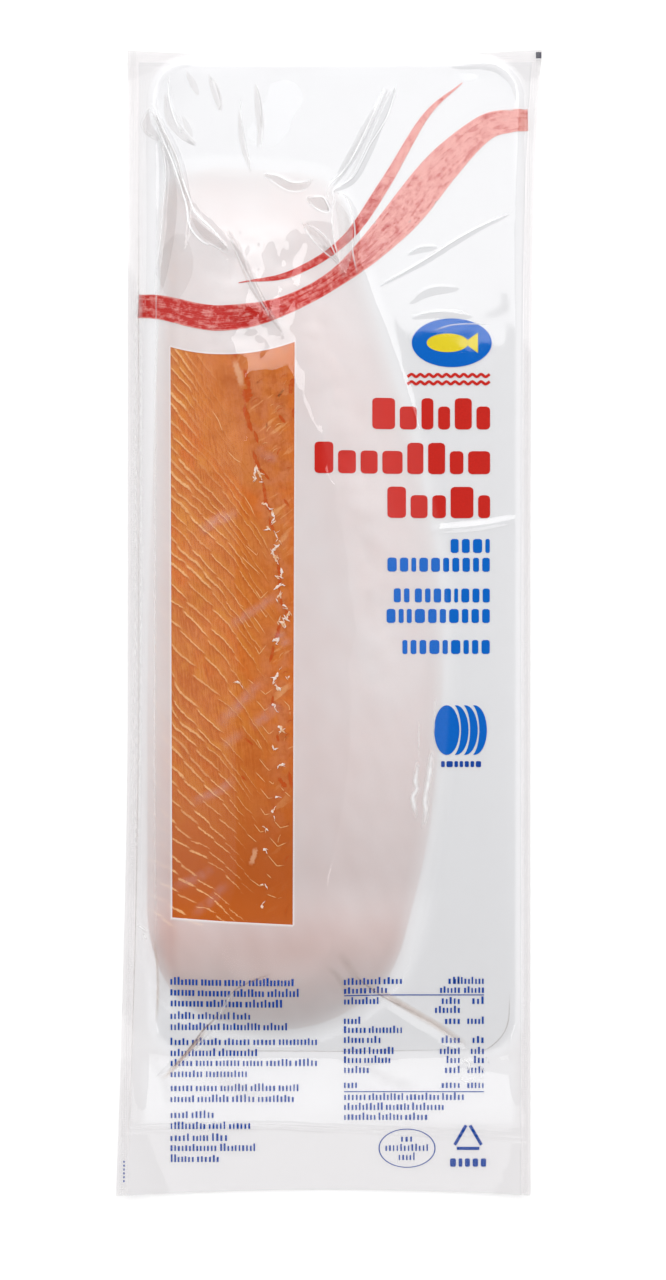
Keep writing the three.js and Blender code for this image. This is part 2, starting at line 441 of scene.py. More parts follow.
def onLines(lines, steps, index):
    # a place that is so many steps along, between the construction lines
    place = lines[0] + 0 * index
    done = 0
    for low, high, count in zip(lines[:-1], lines[1:], steps):
        place = place + (high - low) * np.clip((index - done) / count, 0, 1)
        done += count
    return place


def filmPlace(u, v):
    # turns a place on the flat grid, from -1 to 1 each way, into one on the film's layout
    column = (u + 1) / 2 * sum(layout["columns"])
    row = (v + 1) / 2 * sum(layout["rows"])
    # a first guess at the height gives the place across, and that gives the real height
    seal, printTop, end = layout["footSeal"], layout["printTop"], bag["halfLength"]
    guess = onLines([-end, seal, *layout["windowEndsGuess"], printTop, end], layout["rows"], row)
    left, right = leftEdge(guess), rightEdge(guess)
    printLeft, printRight = left + layout["stripLeft"], right - layout["stripRight"]
    x = onLines([left, printLeft, *windowAcross(guess), printRight, right], layout["columns"], column)
    ends = endEdge(x)
    y = onLines([-ends, seal + 0 * x, *windowEnds(x), printTop + 0 * x, ends], layout["rows"], row)
    return x, y


def refineFolds(piece):
    # splits the faces that lie near a fold, and again near a fin, so that its crest comes out crisp
    fins = [fold for fold in folds if fold[0] == "fin"]
    for reach, lines in ((5.0, folds), (2.2, fins)):
        def nearFold(u, v):
            x, y = filmPlace(u, v)
            near = np.zeros(x.shape, bool)
            for _, line, _, _ in lines:
                close = nearLine(x, y, line, 9)
                near[close] |= alongLine(x[close], y[close], softCurve(line, 4))[0] < reach
            return near & (np.abs(u) < 0.985) & (np.abs(v) < 0.985)

        selectFaces(piece, nearFold)
        bpy.ops.object.mode_set(mode="EDIT")
        bpy.ops.mesh.subdivide(number_cuts=1)
        bpy.ops.object.mode_set(mode="OBJECT")


def selectFaces(piece, chosen):
    # chosen is a function of the faces' middles
    middles = np.empty(len(piece.data.polygons) * 3)
    piece.data.polygons.foreach_get("center", middles)
    middles = middles.reshape(-1, 3)
    piece.data.vertices.foreach_set("select", np.zeros(len(piece.data.vertices), bool))
    piece.data.edges.foreach_set("select", np.zeros(len(piece.data.edges), bool))
    piece.data.polygons.foreach_set("select", chosen(middles[:, 0], middles[:, 1]))


def deleteFaces(piece, chosen):
    selectFaces(piece, chosen)
    bpy.ops.object.mode_set(mode="EDIT")
    bpy.ops.mesh.delete(type="FACE")
    bpy.ops.object.mode_set(mode="OBJECT")


def closeBelow(rings):
    # draws the active sheet's edge down in so many rings, and closes it with one face
    bpy.ops.object.mode_set(mode="EDIT")
    bpy.ops.mesh.select_mode(type="EDGE")
    bpy.ops.mesh.select_all(action="DESELECT")
    bpy.ops.mesh.select_non_manifold()
    for _ in range(rings):
        bpy.ops.mesh.extrude_region_move(TRANSFORM_OT_translate={"value": (0, 0, -1)})
    bpy.ops.mesh.edge_face_add()
    bpy.ops.mesh.select_all(action="SELECT")
    bpy.ops.mesh.normals_make_consistent(inside=False)
    bpy.ops.object.mode_set(mode="OBJECT")


def newMaterial(name):
    material = bpy.data.materials.new(name)
    material.use_nodes = True
    nodes = material.node_tree.nodes
    nodes.clear()
    output = nodes.new("ShaderNodeOutputMaterial")
    return material, nodes, material.node_tree.links, output


def addNode(nodes, kind, **values):
    node = nodes.new("ShaderNode" + kind)
    for name, value in values.items():
        if name[0].islower():
            setattr(node, name, value)
        else:
            node.inputs[name.replace("_", " ")].default_value = value
    return node


def mixShaders(tree, share, below, above):
    # share is a number or a socket: how much of the shader above shows
    mix = addNode(tree.nodes, "MixShader")
    if isinstance(share, bpy.types.NodeSocket):
        tree.links.new(share, mix.inputs["Fac"])
    else:
        mix.inputs["Fac"].default_value = share
    tree.links.new(below.outputs[0], mix.inputs[1])
    tree.links.new(above.outputs[0], mix.inputs[2])
    return mix


def nodeTools(tree):
    # short ways to write a node tree's sums: each takes numbers or sockets and gives back a socket
    nodes, links = tree.nodes, tree.links

    def feed(socket, value):
        if isinstance(value, bpy.types.NodeSocket):
            links.new(value, socket)
        else:
            socket.default_value = value

    def calc(operation, *values):
        node = addNode(nodes, "Math", operation=operation)
        for socket, value in zip(node.inputs, values):
            feed(socket, value)
        return node.outputs[0]

    def ramp(value, low, high, toLow=0.0, toHigh=1.0, smooth=True):
        node = addNode(nodes, "MapRange")
        node.interpolation_type = "SMOOTHSTEP" if smooth else "LINEAR"
        names = ("Value", "From Min", "From Max", "To Min", "To Max")
        for name, given in zip(names, (value, low, high, toLow, toHigh)):
            feed(node.inputs[name], given)
        return node.outputs["Result"]

    def noise(scale, detail=2.0, rough=0.5, place=None, stretch=None, turn=0.0):
        if place is None:
            place = addNode(nodes, "TexCoord").outputs["Object"]
        if stretch:
            # the noise is so many times longer along its own, turned, axes
            turned = addNode(nodes, "Mapping", vector_type="TEXTURE")
            turned.inputs["Rotation"].default_value = (0, 0, turn)
            turned.inputs["Scale"].default_value = stretch
            links.new(place, turned.inputs["Vector"])
            place = turned.outputs["Vector"]
        texture = addNode(nodes, "TexNoise", Scale=scale, Detail=detail, Roughness=rough)
        links.new(place, texture.inputs["Vector"])
        return texture.outputs["Fac"]

    def blend(mask, below, above, kind="MIX"):
        node = addNode(nodes, "Mix", data_type="RGBA", blend_type=kind)
        feed(node.inputs[0], mask)
        feed(node.inputs[6], below)
        feed(node.inputs[7], above)
        return node.outputs[2]

    def attribute(name):
        return addNode(nodes, "Attribute", attribute_name=name).outputs["Fac"]

    return feed, calc, ramp, noise, blend, attribute


def filmMaterial():
    # clear glossy film: it lets most light through and mirrors the rest
    look = {"clear": (0.993, 0.991, 0.995, 1), "doubled": (0.942, 0.935, 0.937, 1),
            "mirrorShare": 0.052, "mirrorRough": 0.035, "haze": (0.80, 0.79, 0.80, 1),
            "dulled": {"doubled": 0.45, "clinging": 0.10}}
    material, nodes, links, output = newMaterial("vacuumFilm")
    feed, calc, ramp, _, blend, attribute = nodeTools(material.node_tree)
    # the seals are milky, and dotted by the sealing bars
    dots = addNode(nodes, "TexVoronoi", Scale=720.0, Randomness=0.15)
    links.new(addNode(nodes, "TexCoord").outputs["Object"], dots.inputs["Vector"])
    dotted = ramp(dots.outputs["Distance"], 0.25, 0.5, smooth=False)
    haze = calc("MULTIPLY", calc("MULTIPLY_ADD", dotted, 0.10, 0.10), attribute("seal"))
    bump = addNode(nodes, "Bump", Strength=0.10, Distance=0.0002)
    feed(bump.inputs["Height"], haze)

    clear = addNode(nodes, "BsdfTransparent")
    feed(clear.inputs["Color"], blend(attribute("doubled"), look["clear"], look["doubled"]))
    milky = addNode(nodes, "BsdfDiffuse", Color=look["haze"])
    mirror = addNode(nodes, "BsdfGlossy", Roughness=look["mirrorRough"])
    # the mirrored share is the same from both sides of the thin film, and grows towards a glancing view
    slant = addNode(nodes, "LayerWeight", Blend=0.5)
    for shiny in (mirror, slant):
        links.new(bump.outputs["Normal"], shiny.inputs["Normal"])
    steep = calc("POWER", slant.outputs["Facing"], 5.0)
    share = calc("MULTIPLY_ADD", steep, 1 - look["mirrorShare"], look["mirrorShare"])
    # it shines less where the two webs are welded, and where it clings to the fish's moist head end
    for name, least in look["dulled"].items():
        share = calc("MULTIPLY", share, ramp(attribute(name), 0.0, 1.0, 1.0, least, smooth=False))
    body = mixShaders(material.node_tree, haze, clear, milky)
    surface = mixShaders(material.node_tree, share, body, mirror)
    links.new(surface.outputs[0], output.inputs["Surface"])
    return material


def inkMaterial(name, color, cover, uneven=0.06):
    # printing ink behind the film: matt, slightly uneven, and as see-through as its cover says. The cover is
    # a number or the name of a mask.
    material, nodes, links, output = newMaterial(name)
    feed, _, ramp, noise, blend, attribute = nodeTools(material.node_tree)
    tone = ramp(noise(900, 3), 0.3, 0.7, 1 - uneven, 1 + uneven, smooth=False)
    ink = addNode(nodes, "BsdfDiffuse")
    feed(ink.inputs["Color"], blend(1.0, color, tone, "MULTIPLY"))
    clear = addNode(nodes, "BsdfTransparent")
    covering = attribute(cover) if isinstance(cover, str) else cover
    surface = mixShaders(material.node_tree, covering, clear, ink)
    links.new(surface.outputs[0], output.inputs["Surface"])
    return material


# How far below the film's upper side each of these lies.
webGap = {"ink": 0.22, "white": 0.45, "fish": 0.8}


# Where the film is milky (the seals), doubled (two webs lie on each other, less hazy in the pocket of air at
# the foot) and clings to something moist. Each pair is from where to where, in millimetres, a mask changes.
filmMasks = {
    "strip": ((1.2, 2.0), (5.0, 6.0)), "headSeal": (3, 1, 0.5),
    "pocket": ((258, 266), (-304, -298), (108, 114)), "pocketShare": 0.75,
    "doubled": (2, 8), "clinging": ((148, 176), (-262, -252), (-16, -6)),
    "clingingCorner": (-98, 326, 18, 0.8),
}
# The back web: how far in each of its rings is drawn, the flat that it ends in below the board, as a share of
# the outline and a shift of it, and how far above the pack's underside it lies.
backWeb = {
    "rings": [0.0, 0.12, 0.26, 0.42, 0.6, 0.8, 1.0],
    "across": (0.806, 4), "along": (0.848, 39), "above": 0.05,
}


def makeFilm():
    film = addGrid("pouchFilm", sum(layout["columns"]), sum(layout["rows"]))
    refineFolds(film)
    closeBelow(len(backWeb["rings"]))
    flat = pointsOf(film)
    ring = np.rint(-flat[:, 2]).astype(int)
    x, y = filmPlace(flat[:, 0], flat[:, 1])
    drawnIn = np.array([0.0] + backWeb["rings"])[ring]
    (wide, shiftX), (long, shiftY) = backWeb["across"], backWeb["along"]
    x = x + (wide * x + shiftX - x) * drawnIn
    y = y + (long * y + shiftY - y) * drawnIn
    z = np.where(ring == 0, filmTop(x, y), undersideHeight(x, y) + backWeb["above"])
    setPoints(film, x, y, z)
    fromSide = np.minimum(x - leftEdge(y), rightEdge(y) - x)
    begins, (full, ends) = filmMasks["strip"]
    inStrip = smoothStep(*begins, fromSide) * smoothStep(-ends, -full, -fromSide)
    low, high, share = filmMasks["headSeal"]
    headSeal = smoothStep(layout["printTop"] - low, layout["printTop"] - high, y)
    addMask(film, "seal", np.maximum(inStrip, share * headSeal) * (ring == 0))
    head, foot, (full, ends) = filmMasks["pocket"]
    pocket = smoothStep(*head, -y) * smoothStep(*foot, y) * smoothStep(-ends, -full, -np.abs(x))
    doubled = smoothStep(*filmMasks["doubled"], -insideBoard(x, y))
    addMask(film, "doubled", doubled * (1 - filmMasks["pocketShare"] * pocket))
    head, foot, inFish = filmMasks["clinging"]
    clinging = smoothStep(*head, -y) * smoothStep(*foot, y) * smoothStep(*inFish, insideFish(x, y))
    cornerX, cornerY, wide, strength = filmMasks["clingingCorner"]
    corner = strength * np.exp(-((x - cornerX) ** 2 + (y - cornerY) ** 2) / wide ** 2)
    addMask(film, "clinging", np.maximum(clinging, corner))
    finishPiece(film, filmMaterial(), smooth=False)
    bpy.ops.object.shade_smooth_by_angle(angle=math.radians(60))
    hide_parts("pouch")
    print("film", len(film.data.polygons), "faces")


# How much the white print covers: a base, and what each of the places named adds to it or takes away.
# The cuts at the fish's left rim and head end are painted shade: more of the darker flesh shows through there.
whiteCover = {
    "base": 0.60, "upwards": 0.11, "atTail": 0.05, "atRight": 0.025, "bridging": 0.09, "leftRimShade": -0.09,
    "fishHeadShade": -0.17, "headFade": 0.78, "uneven": (0.05, 0.035), "windowRim": 0.837,
    "ink": (0.955, 0.957, 0.965, 1),
}


def makeWhitePrint():
    columns, rows = layout["columns"], layout["rows"]
    white = addGrid("whitePrint", sum(columns), sum(rows))
    refineFolds(white)
    stopsX = [2 * s / sum(columns) - 1 for s in np.cumsum(columns)]
    stopsY = [2 * s / sum(rows) - 1 for s in np.cumsum(rows)]

    def outsidePrint(x, y):
        strips = (x < stopsX[0]) | (x > stopsX[3]) | (y > stopsY[3])
        window = (x > stopsX[1]) & (x < stopsX[2]) & (y > stopsY[1]) & (y < stopsY[2])
        return strips | window

    deleteFaces(white, outsidePrint)
    flat = pointsOf(white)
    x, y = filmPlace(flat[:, 0], flat[:, 1])
    z = filmTop(x, y) - webGap["white"]
    z = np.where(np.abs(flat[:, 1]) > 0.9999, undersideHeight(x, y) + 0.2, z)
    setPoints(white, x, y, z)
    left, right = windowAcross(y)
    bottom, top = windowEnds(x)
    fromWindow = np.maximum(np.maximum(left - x, x - right), np.maximum(bottom - y, y - top))
    rim = whiteCover["windowRim"] * smoothStep(-1.5, -0.8, -fromWindow)
    cover = whiteCover["base"] + whiteCover["upwards"] * smoothStep(-170, 10, y)
    cover += whiteCover["atTail"] * smoothStep(150, 240, y) + whiteCover["atRight"] * smoothStep(-20, 40, x)
    # it is uneven where it clings to the fish. At the fish's left rim and head end it covers less: painted
    # shade, as more of the darker flesh shows through there
    inFish = insideFish(x, y)
    clings = smoothStep(-2, 16, inFish)
    coarse, fine = whiteCover["uneven"]
    cover += clings * (coarse * softWaves(x / 38, y / 62) + fine * smallWaves(x / 11 + y / 30, y / 17))
    cover += whiteCover["leftRimShade"] * clings * smoothStep(88, 96, -x)
    toHead = smoothStep(160, 200, -y) * (1 - whiteCover["headFade"] * smoothStep(212, 234, -y))
    cover += whiteCover["fishHeadShade"] * toHead * smoothStep(-8, 8, inFish)
    # and it looks denser where the film stands off what is below it
    cover += whiteCover["bridging"] * smoothStep(-11, -4, inFish) * smoothStep(-10, 2, -inFish)
    addMask(white, "cover", np.maximum(cover, rim))
    finishPiece(white, inkMaterial("whiteInk", whiteCover["ink"], "cover", 0.01))
    print("white print", len(white.data.polygons), "faces")


# Painted highlights along the film's hard creases, white where they catch the light: how wide, how strong, and
# the line.
creases = [
    (1.1, 1.0, [(-107.4, 309), (-103.8, 300.6), (-99.6, 289.8), (-94.8, 279), (-90, 265.8), (-86.4, 253.8),
                (-84.8, 246.6), (-84.4, 241.2), (-82, 235.2), (-77.4, 229.8), (-73.2, 227), (-70.8, 226.8),
                (-66.6, 224.4), (-61.8, 221.4), (-60.2, 222.8)]),
    (1.0, 0.9, [(-105.6, 309.6), (-101.4, 300.6), (-96.6, 291), (-91.2, 279), (-87.6, 265.8), (-83.4, 253.8),
                (-81.2, 247.8), (-76.8, 242.4), (-70.8, 237), (-66, 231), (-62.4, 225.6), (-60.2, 222.8)]),
    (0.9, 0.6, [(-103.8, 295.8), (-100.2, 286.2), (-98, 270.6), (-98.8, 259.8), (-101.2, 229.8),
                (-103.2, 214.2), (-104, 199.8)]),
    (0.9, 0.8, [(-107.4, 309), (-111.6, 301.8), (-112.2, 298.2), (-109.2, 293.6), (-105, 291.6)]),
    (1.0, 0.8, [(-96.6, 328.2), (-96, 316.2), (-93.6, 305.4), (-89.4, 295.8), (-86.4, 293.6)]),
    (0.6, 0.5, [(-61.2, 235.2), (-56, 222.6), (-49.8, 209.4), (-43.1, 196.2), (-36.6, 185.4),
                (-33.2, 181.8)]),
    (0.8, 0.8, [(-39.6, 269.6), (-30.6, 268.2), (-23.4, 264.6), (-17.4, 264.4), (-10, 265.8)]),
    (0.8, 0.8, [(-39, 268.8), (-31.8, 263.2), (-24.6, 259.2), (-18, 258.6), (-13.2, 261)]),
    (1.0, 0.9, [(-13.8, 255), (-4.2, 255.7), (-1.2, 252), (0.6, 247.2), (-2.4, 246), (-8.4, 249),
                (-12.8, 253.8)]),
    (1.0, 0.9, [(33.6, 322.1), (25.3, 302.6), (18.6, 288.3), (12.6, 276.3), (6.6, 268.8), (1.6, 264.6),
                (-0.8, 259), (1, 252.4)]),
    (1.0, 0.9, [(40.8, 324.3), (36.6, 307.8), (31.3, 297.3), (24.6, 286.8), (20.1, 277.8), (14.1, 267.3),
                (5.6, 262), (2.3, 258.6), (3, 251.4), (0.6, 247)]),
    (0.7, 0.6, [(-16, 239.4), (-11.4, 231.6), (-5.4, 224.4), (1.2, 219), (4.8, 216)]),
    (0.7, 0.6, [(-15.5, 239.6), (-7.2, 236), (-0.6, 229.8), (2.4, 223.8), (5.6, 216.8)]),
    (0.7, 0.6, [(3, 255), (1.8, 241.8), (3, 229.8), (6, 217.8)]),
    (0.8, 0.6, [(2.9, 259.1), (9.6, 256.1), (14.1, 244.8), (15.6, 232.8), (14.1, 223.8), (17.1, 208.8)]),
    (0.7, 0.7, [(-53.4, 315), (-52.2, 299.4), (-50, 286.2), (-46.7, 271.6)]),
    (0.7, 0.7, [(-43.6, 323.4), (-41.4, 310.2), (-40, 294.6), (-41.4, 283.8)]),
    (0.7, 0.7, [(-71.4, 328.2), (-67.8, 319.8), (-65.2, 309.6), (-67.8, 307)]),
    (0.8, 0.8, [(29.1, 201.3), (54.6, 216.1), (84.6, 234.9), (110.8, 247)]),
    (0.6, 0.6, [(48.6, 222.2), (56.1, 225.4), (65.1, 226)]),
    (0.6, 0.6, [(50.1, 184.8), (63.6, 186.3), (75.6, 187.8), (84.6, 184.5)]),
    (0.6, 0.5, [(62.1, 175), (72.6, 178.5), (84.6, 179.4), (97.3, 178.8)]),
]


# A crease's four rows, as shares of its width, and its ink: it is full on its inner two.
creaseLook = {"rows": (-0.85, -0.4, 0.4, 0.85), "ink": (0.985, 0.985, 0.99, 1), "below": 0.1}


def makeCreases():
    # painted highlights: white strips along the film's hard creases, where they catch the light
    strips = []
    for wide, strength, line in creases:
        line = evenly(softCurve(line), 1.2)
        strip, step, row = addStrip(line, np.array(creaseLook["rows"]) * wide)
        fade = np.minimum(1, 5 * np.minimum(step, len(line) - 1 - step) / len(line))
        addMask(strip, "cover", strength * fade * ((row == 1) | (row == 2)))
        strips.append(strip)
    piece = joinAll(strips, "creaseHighlights")
    drape(piece, lambda x, y: filmTop(x, y) - creaseLook["below"])
    finishPiece(piece, inkMaterial("creaseHighlightInk", creaseLook["ink"], "cover", 0.02))
    print("creases", len(piece.data.polygons), "faces")


# Soft strips painted in the film, each list with its own tone: painted reflections, shadows, shade and
# highlights along the film's folds and edges. Each strip: width, strength and line. A strip's inner rows lie
# "sharp" of its width from its line. With "lens" above 0 it narrows to its ends, and the higher "rise" is, the
# sooner it shows from its ends on.
stripDefaults = {"sharp": 0.25, "lens": 0.0, "rise": 1.3}
softStrips = {
    # painted reflections: faint pale streaks across the window, where the film's slight waves mirror the room
    "paintedFilmReflections": {"paintedTone": (0.90, 0.70, 0.73, 1), "ragged": 0.9, "strips": [
        (8.5, 0.20, [(-78, 54), (-67.4, 60.9), (-54, 66)]),
        (7.5, 0.16, [(-60, -3), (-48.6, 5.1), (-41.7, 9.4), (-31, 16)]),
        (10.0, 0.15, [(-68, -64), (-58, -53.2), (-48.6, -43.8), (-36, -31)]),
        (7.5, 0.16, [(-84, -108), (-70.9, -102.8), (-63.2, -98.5), (-55, -92)]),
        (8.0, 0.11, [(-95, -159), (-83.7, -154.2), (-76, -150.8), (-68, -145)]),
        (8.0, 0.11, [(-83, -175), (-74.3, -168.8), (-68.3, -163.6), (-60, -154)]),
        (8.0, 0.11, [(-64, -74), (-50, -64)]), (9.0, 0.16, [(-47, -62), (-28, -48)]),
        (9.0, 0.16, [(-32, -5), (-24, -14)]), (8.0, 0.12, [(-44, 104), (-30, 96)]),
    ]},
    "foldShadow": {"paintedTone": (0.33, 0.22, 0.17, 1), "ragged": 0.4, "strips": [
        (1.5, 0.62, [(-93, -266), (-85.4, -257.4), (-80.4, -250.8), (-77, -245.9), (-73.8, -242.4),
                     (-68.8, -237.5), (-64.6, -231.6)]),
        (1.2, 0.30, [(-64.6, -231.6), (-58, -221), (-50.4, -215.8), (-38.8, -210.8), (-33, -209)]),
        (1.3, 0.34, [(15, -210), (22.3, -216.6), (31.4, -223.4), (42.3, -229.2), (52, -234)]),
        (0.9, 0.40, [(-114.6, 330), (-114.3, 200), (-114.2, 60), (-114.3, -60), (-115.5, -150),
                     (-116.7, -205), (-118.1, -250), (-119.8, -300), (-121.2, -338)]),
        (7.0, 0.10, [(6, -196), (13, -207), (20, -218)]), (5.0, 0.10, [(-2, -204), (6, -212), (12, -224)]),
        (1.0, 0.30, [(84, -255.6), (90, -257), (97, -254), (104, -247), (107.6, -238), (108.4, -222)]),
        (0.9, 0.24, [(-88, -256.4), (-40, -256.6), (20, -256.8), (84, -255.6)]),
    ]},
    # painted shade: soft brownish bands along the two folds at the foot, and by the fish's lower left edge
    "foldTanShade": {"paintedTone": (0.66, 0.50, 0.40, 1), "ragged": 0.15, "strips": [
        (5.6, 0.36, [(22, -216), (42.3, -228), (52.3, -234), (63.9, -240.7), (74, -247.4), (83.9, -254.5)]),
        (3.6, 0.55, [(-101, -274), (-96, -270), (-88, -261), (-80, -252), (-73, -243)]),
        (2.2, 0.35, [(-103.5, -240), (-102.6, -215), (-104.4, -190)]),
    ]},
    # painted shade: grey patches along folds at the head, in the loose film at the foot, and by the fish's
    # lower left corner
    "foldGreyShade": {"paintedTone": (0.56, 0.52, 0.51, 1), "ragged": 0.25, "strips": [
        (4.0, 0.16, [(31, 314), (22, 296), (13, 280), (3, 262)]),
        (5.0, 0.14, [(6, 256), (11, 244), (12, 228), (13, 214)]),
        (14.0, 0.14, [(-104, -184), (-104, -208), (-101, -234)]),
        (14.0, 0.10, [(-72, -266), (-54, -280), (-34, -285)]),
        (9.0, 0.10, [(18, -262), (34, -273), (54, -279)]),
        (7.0, 0.08, [(-106, -262), (-98, -276), (-96, -292)]),
        (3.2, 0.16, [(-14, 238), (-5, 229), (3, 218)]), (3.4, 0.15, [(-60, 233), (-52, 217), (-43, 200)]),
    ]},
    # painted shade: the beige inside of the sharpest folds, and the grey of the flattened ones, each a lens of
    # one tone
    "foldInsideShade": {"paintedTone": (0.6, 0.545, 0.53, 1), "ragged": 0.1, "sharp": 0.45, "lens": 0.7, "rise": 6,
                   "strips": [
        (3.8, 0.20, [(-106.5, 307), (-102.6, 300.6), (-97.6, 290), (-92.6, 279), (-88.6, 265.8), (-85, 253),
                     (-83, 245)]),
        (7.4, 0.17, [(-101, 290), (-96.6, 276), (-94.6, 262), (-94.8, 246), (-96.5, 228), (-98.5, 212),
                     (-101, 198)]),
        (6.6, 0.17, [(-108.6, 307), (-109.6, 299), (-106.6, 294), (-101.5, 289)]),
        (5.2, 0.22, [(-82, 243), (-76, 235), (-68.6, 229), (-60, 222.5)]),
        (5.6, 0.20, [(-39.4, 269), (-30, 265.6), (-22.4, 261.8), (-15, 262.4), (-9.5, 265.4)]),
        (7.4, 0.22, [(-13.8, 255), (-6, 251.8), (1, 248)]),
        (4.2, 0.14, [(-85.5, 331), (-81, 322), (-78, 316)]),
        (5.4, 0.17, [(-72, 329), (-67.4, 317), (-64.6, 306)]),
        (5.0, 0.17, [(-44, 324), (-42.2, 308), (-41, 296), (-43, 285)]),
        (3.4, 0.17, [(-54, 308), (-52, 288), (-46.8, 270)]),
        (6.4, 0.15, [(-98, 318), (-95.4, 303), (-88, 293), (-79, 286)]),
        (5.6, 0.19, [(-16.6, 240.6), (-9, 233), (-1, 225), (6.5, 214)]),
        (3.6, 0.12, [(-88, 304), (-84.6, 297), (-81.5, 291)]),
        (5.4, 0.19, [(-61.6, 236.4), (-54, 221), (-46, 203), (-37, 187), (-27, 172)]),
        (9.0, 0.13, [(4, 254), (9, 240), (10.4, 225), (8, 206)]),
        (22.0, 0.10, [(-89, 234), (-91, 222), (-92.4, 208), (-93, 193)]),
    ]},
    "glint": {"paintedTone": (1.0, 1.0, 1.0, 1), "ragged": 0.3, "strips": [
        (3.8, 1.0, [(53, -82), (52.5, -89.8), (51.8, -95), (52.5, -99.5), (50.2, -104.1), (50.8, -108),
                    (51.5, -113.2), (52.8, -118)]),
        (4.2, 1.0, [(61.8, -74), (60.6, -87.2), (59.6, -95), (58.2, -101.5), (57.5, -107.7), (58, -113.2),
                    (56.4, -124)]),
        (1.2, 0.5, [(63.6, -44), (63.2, -58), (62.6, -70)]), (1.3, 0.4, [(54, -58), (53.6, -70), (54, -80)]),
        (2.2, 0.9, [(-115, -181), (-112.4, -182.8), (-109.6, -184.6)]),
        (1.6, 0.8, [(-111.5, -186), (-109.5, -190)]),
        (3.0, 0.5, [(-66.4, -236), (-61, -226), (-57, -219)]),
        (1.6, 0.2, [(20.5, -218), (26, -224), (31, -228)]),
        (2.0, 1.0, [(80, -261), (84, -264), (83, -269)]), (1.4, 0.9, [(90, -265), (93, -269), (91, -274)]),
        (1.4, 0.9, [(78, -272), (82, -275), (87, -273)]), (1.2, 0.8, [(94, -260), (96, -264)]),
        (6.5, 0.42, [(-115.2, 290), (-114.6, 200), (-114.4, 60), (-115, -60), (-116, -150), (-117, -215)]),
        (1.2, 0.5, [(-103.2, 270), (-104, 120), (-104.6, 0), (-104.4, -120), (-103, -196)]),
    ]},
}


def makeSoftStrips():
    for name, own in softStrips.items():
        look = {**stripDefaults, **own}
        inner = 0.1 + 2 * look["sharp"]
        strips = []
        for wide, strength, line in look["strips"]:
            line = evenly(softCurve(line), 1.2)
            lens = np.sin(math.pi * np.linspace(0.02, 0.98, len(line))) ** look["lens"]
            rows = np.array([-0.5, -look["sharp"], 0, look["sharp"], 0.5]) * wide
            strip, step, row = addStrip(line, lens[:, None] * rows)
            x, y, _ = pointsOf(strip).T / mm
            swell = np.clip(look["rise"] * np.sin(math.pi * step / (len(line) - 1)), 0, 1)
            ragged = np.clip(1 + look["ragged"] * (1.2 * smallWaves(x / 4, y / 4) - 0.2), 0, 1.3)
            across = np.array([0, inner, 1, inner, 0])[row]
            addMask(strip, "cover", np.clip(strength * swell * ragged, 0, 1) * across)
            strips.append(strip)
        piece = joinAll(strips, name)
        drape(piece, lambda x, y: filmTop(x, y) - 0.12)
        finishPiece(piece, inkMaterial(name, look["paintedTone"], "cover", 0.02))
        print(name, len(piece.data.polygons), "faces")


def inkPatch(columns, rows, shape):
    # one printed shape: a grid whose places on the film the shape function gives
    patch = addGrid("patch", columns, rows)
    flat = pointsOf(patch)
    x, y = shape(flat[:, 0], flat[:, 1])
    setPoints(patch, x, y, filmTop(x, y) - webGap["ink"])
    return patch


def barShape(x0, x1, y, height, radius):
    middle, halfWide, halfHigh = (x0 + x1) / 2, (x1 - x0) / 2, height / 2

    def shape(u, v):
        # the rows are drawn out to the bar's ends, so that the corners get their roundness
        share = np.abs(v) ** 0.35
        high = np.sign(v) * (share * halfHigh)
        over = np.maximum(0, np.abs(high) - (halfHigh - radius))
        return middle + u * (halfWide - radius + np.sqrt(np.maximum(0, radius ** 2 - over ** 2))), y + high

    return shape


def ovalShape(x, y, halfWide, halfHigh, inner=0.0):
    # an oval, or with an inner size an oval ring, made from a grid wrapped round its middle
    def shape(u, v):
        angle = (u + 1) * math.pi
        size = inner + (1 - inner) * (v + 1) / 2
        return x + size * halfWide * np.cos(angle), y + size * halfHigh * np.sin(angle)

    return shape


# The card: how far above the ground it starts, how far its edges are softened, and its tones.
cardLook = {"above": 0.3, "softened": 0.35, "tones": ((0.78, 0.785, 0.80, 1), (0.86, 0.865, 0.875, 1))}


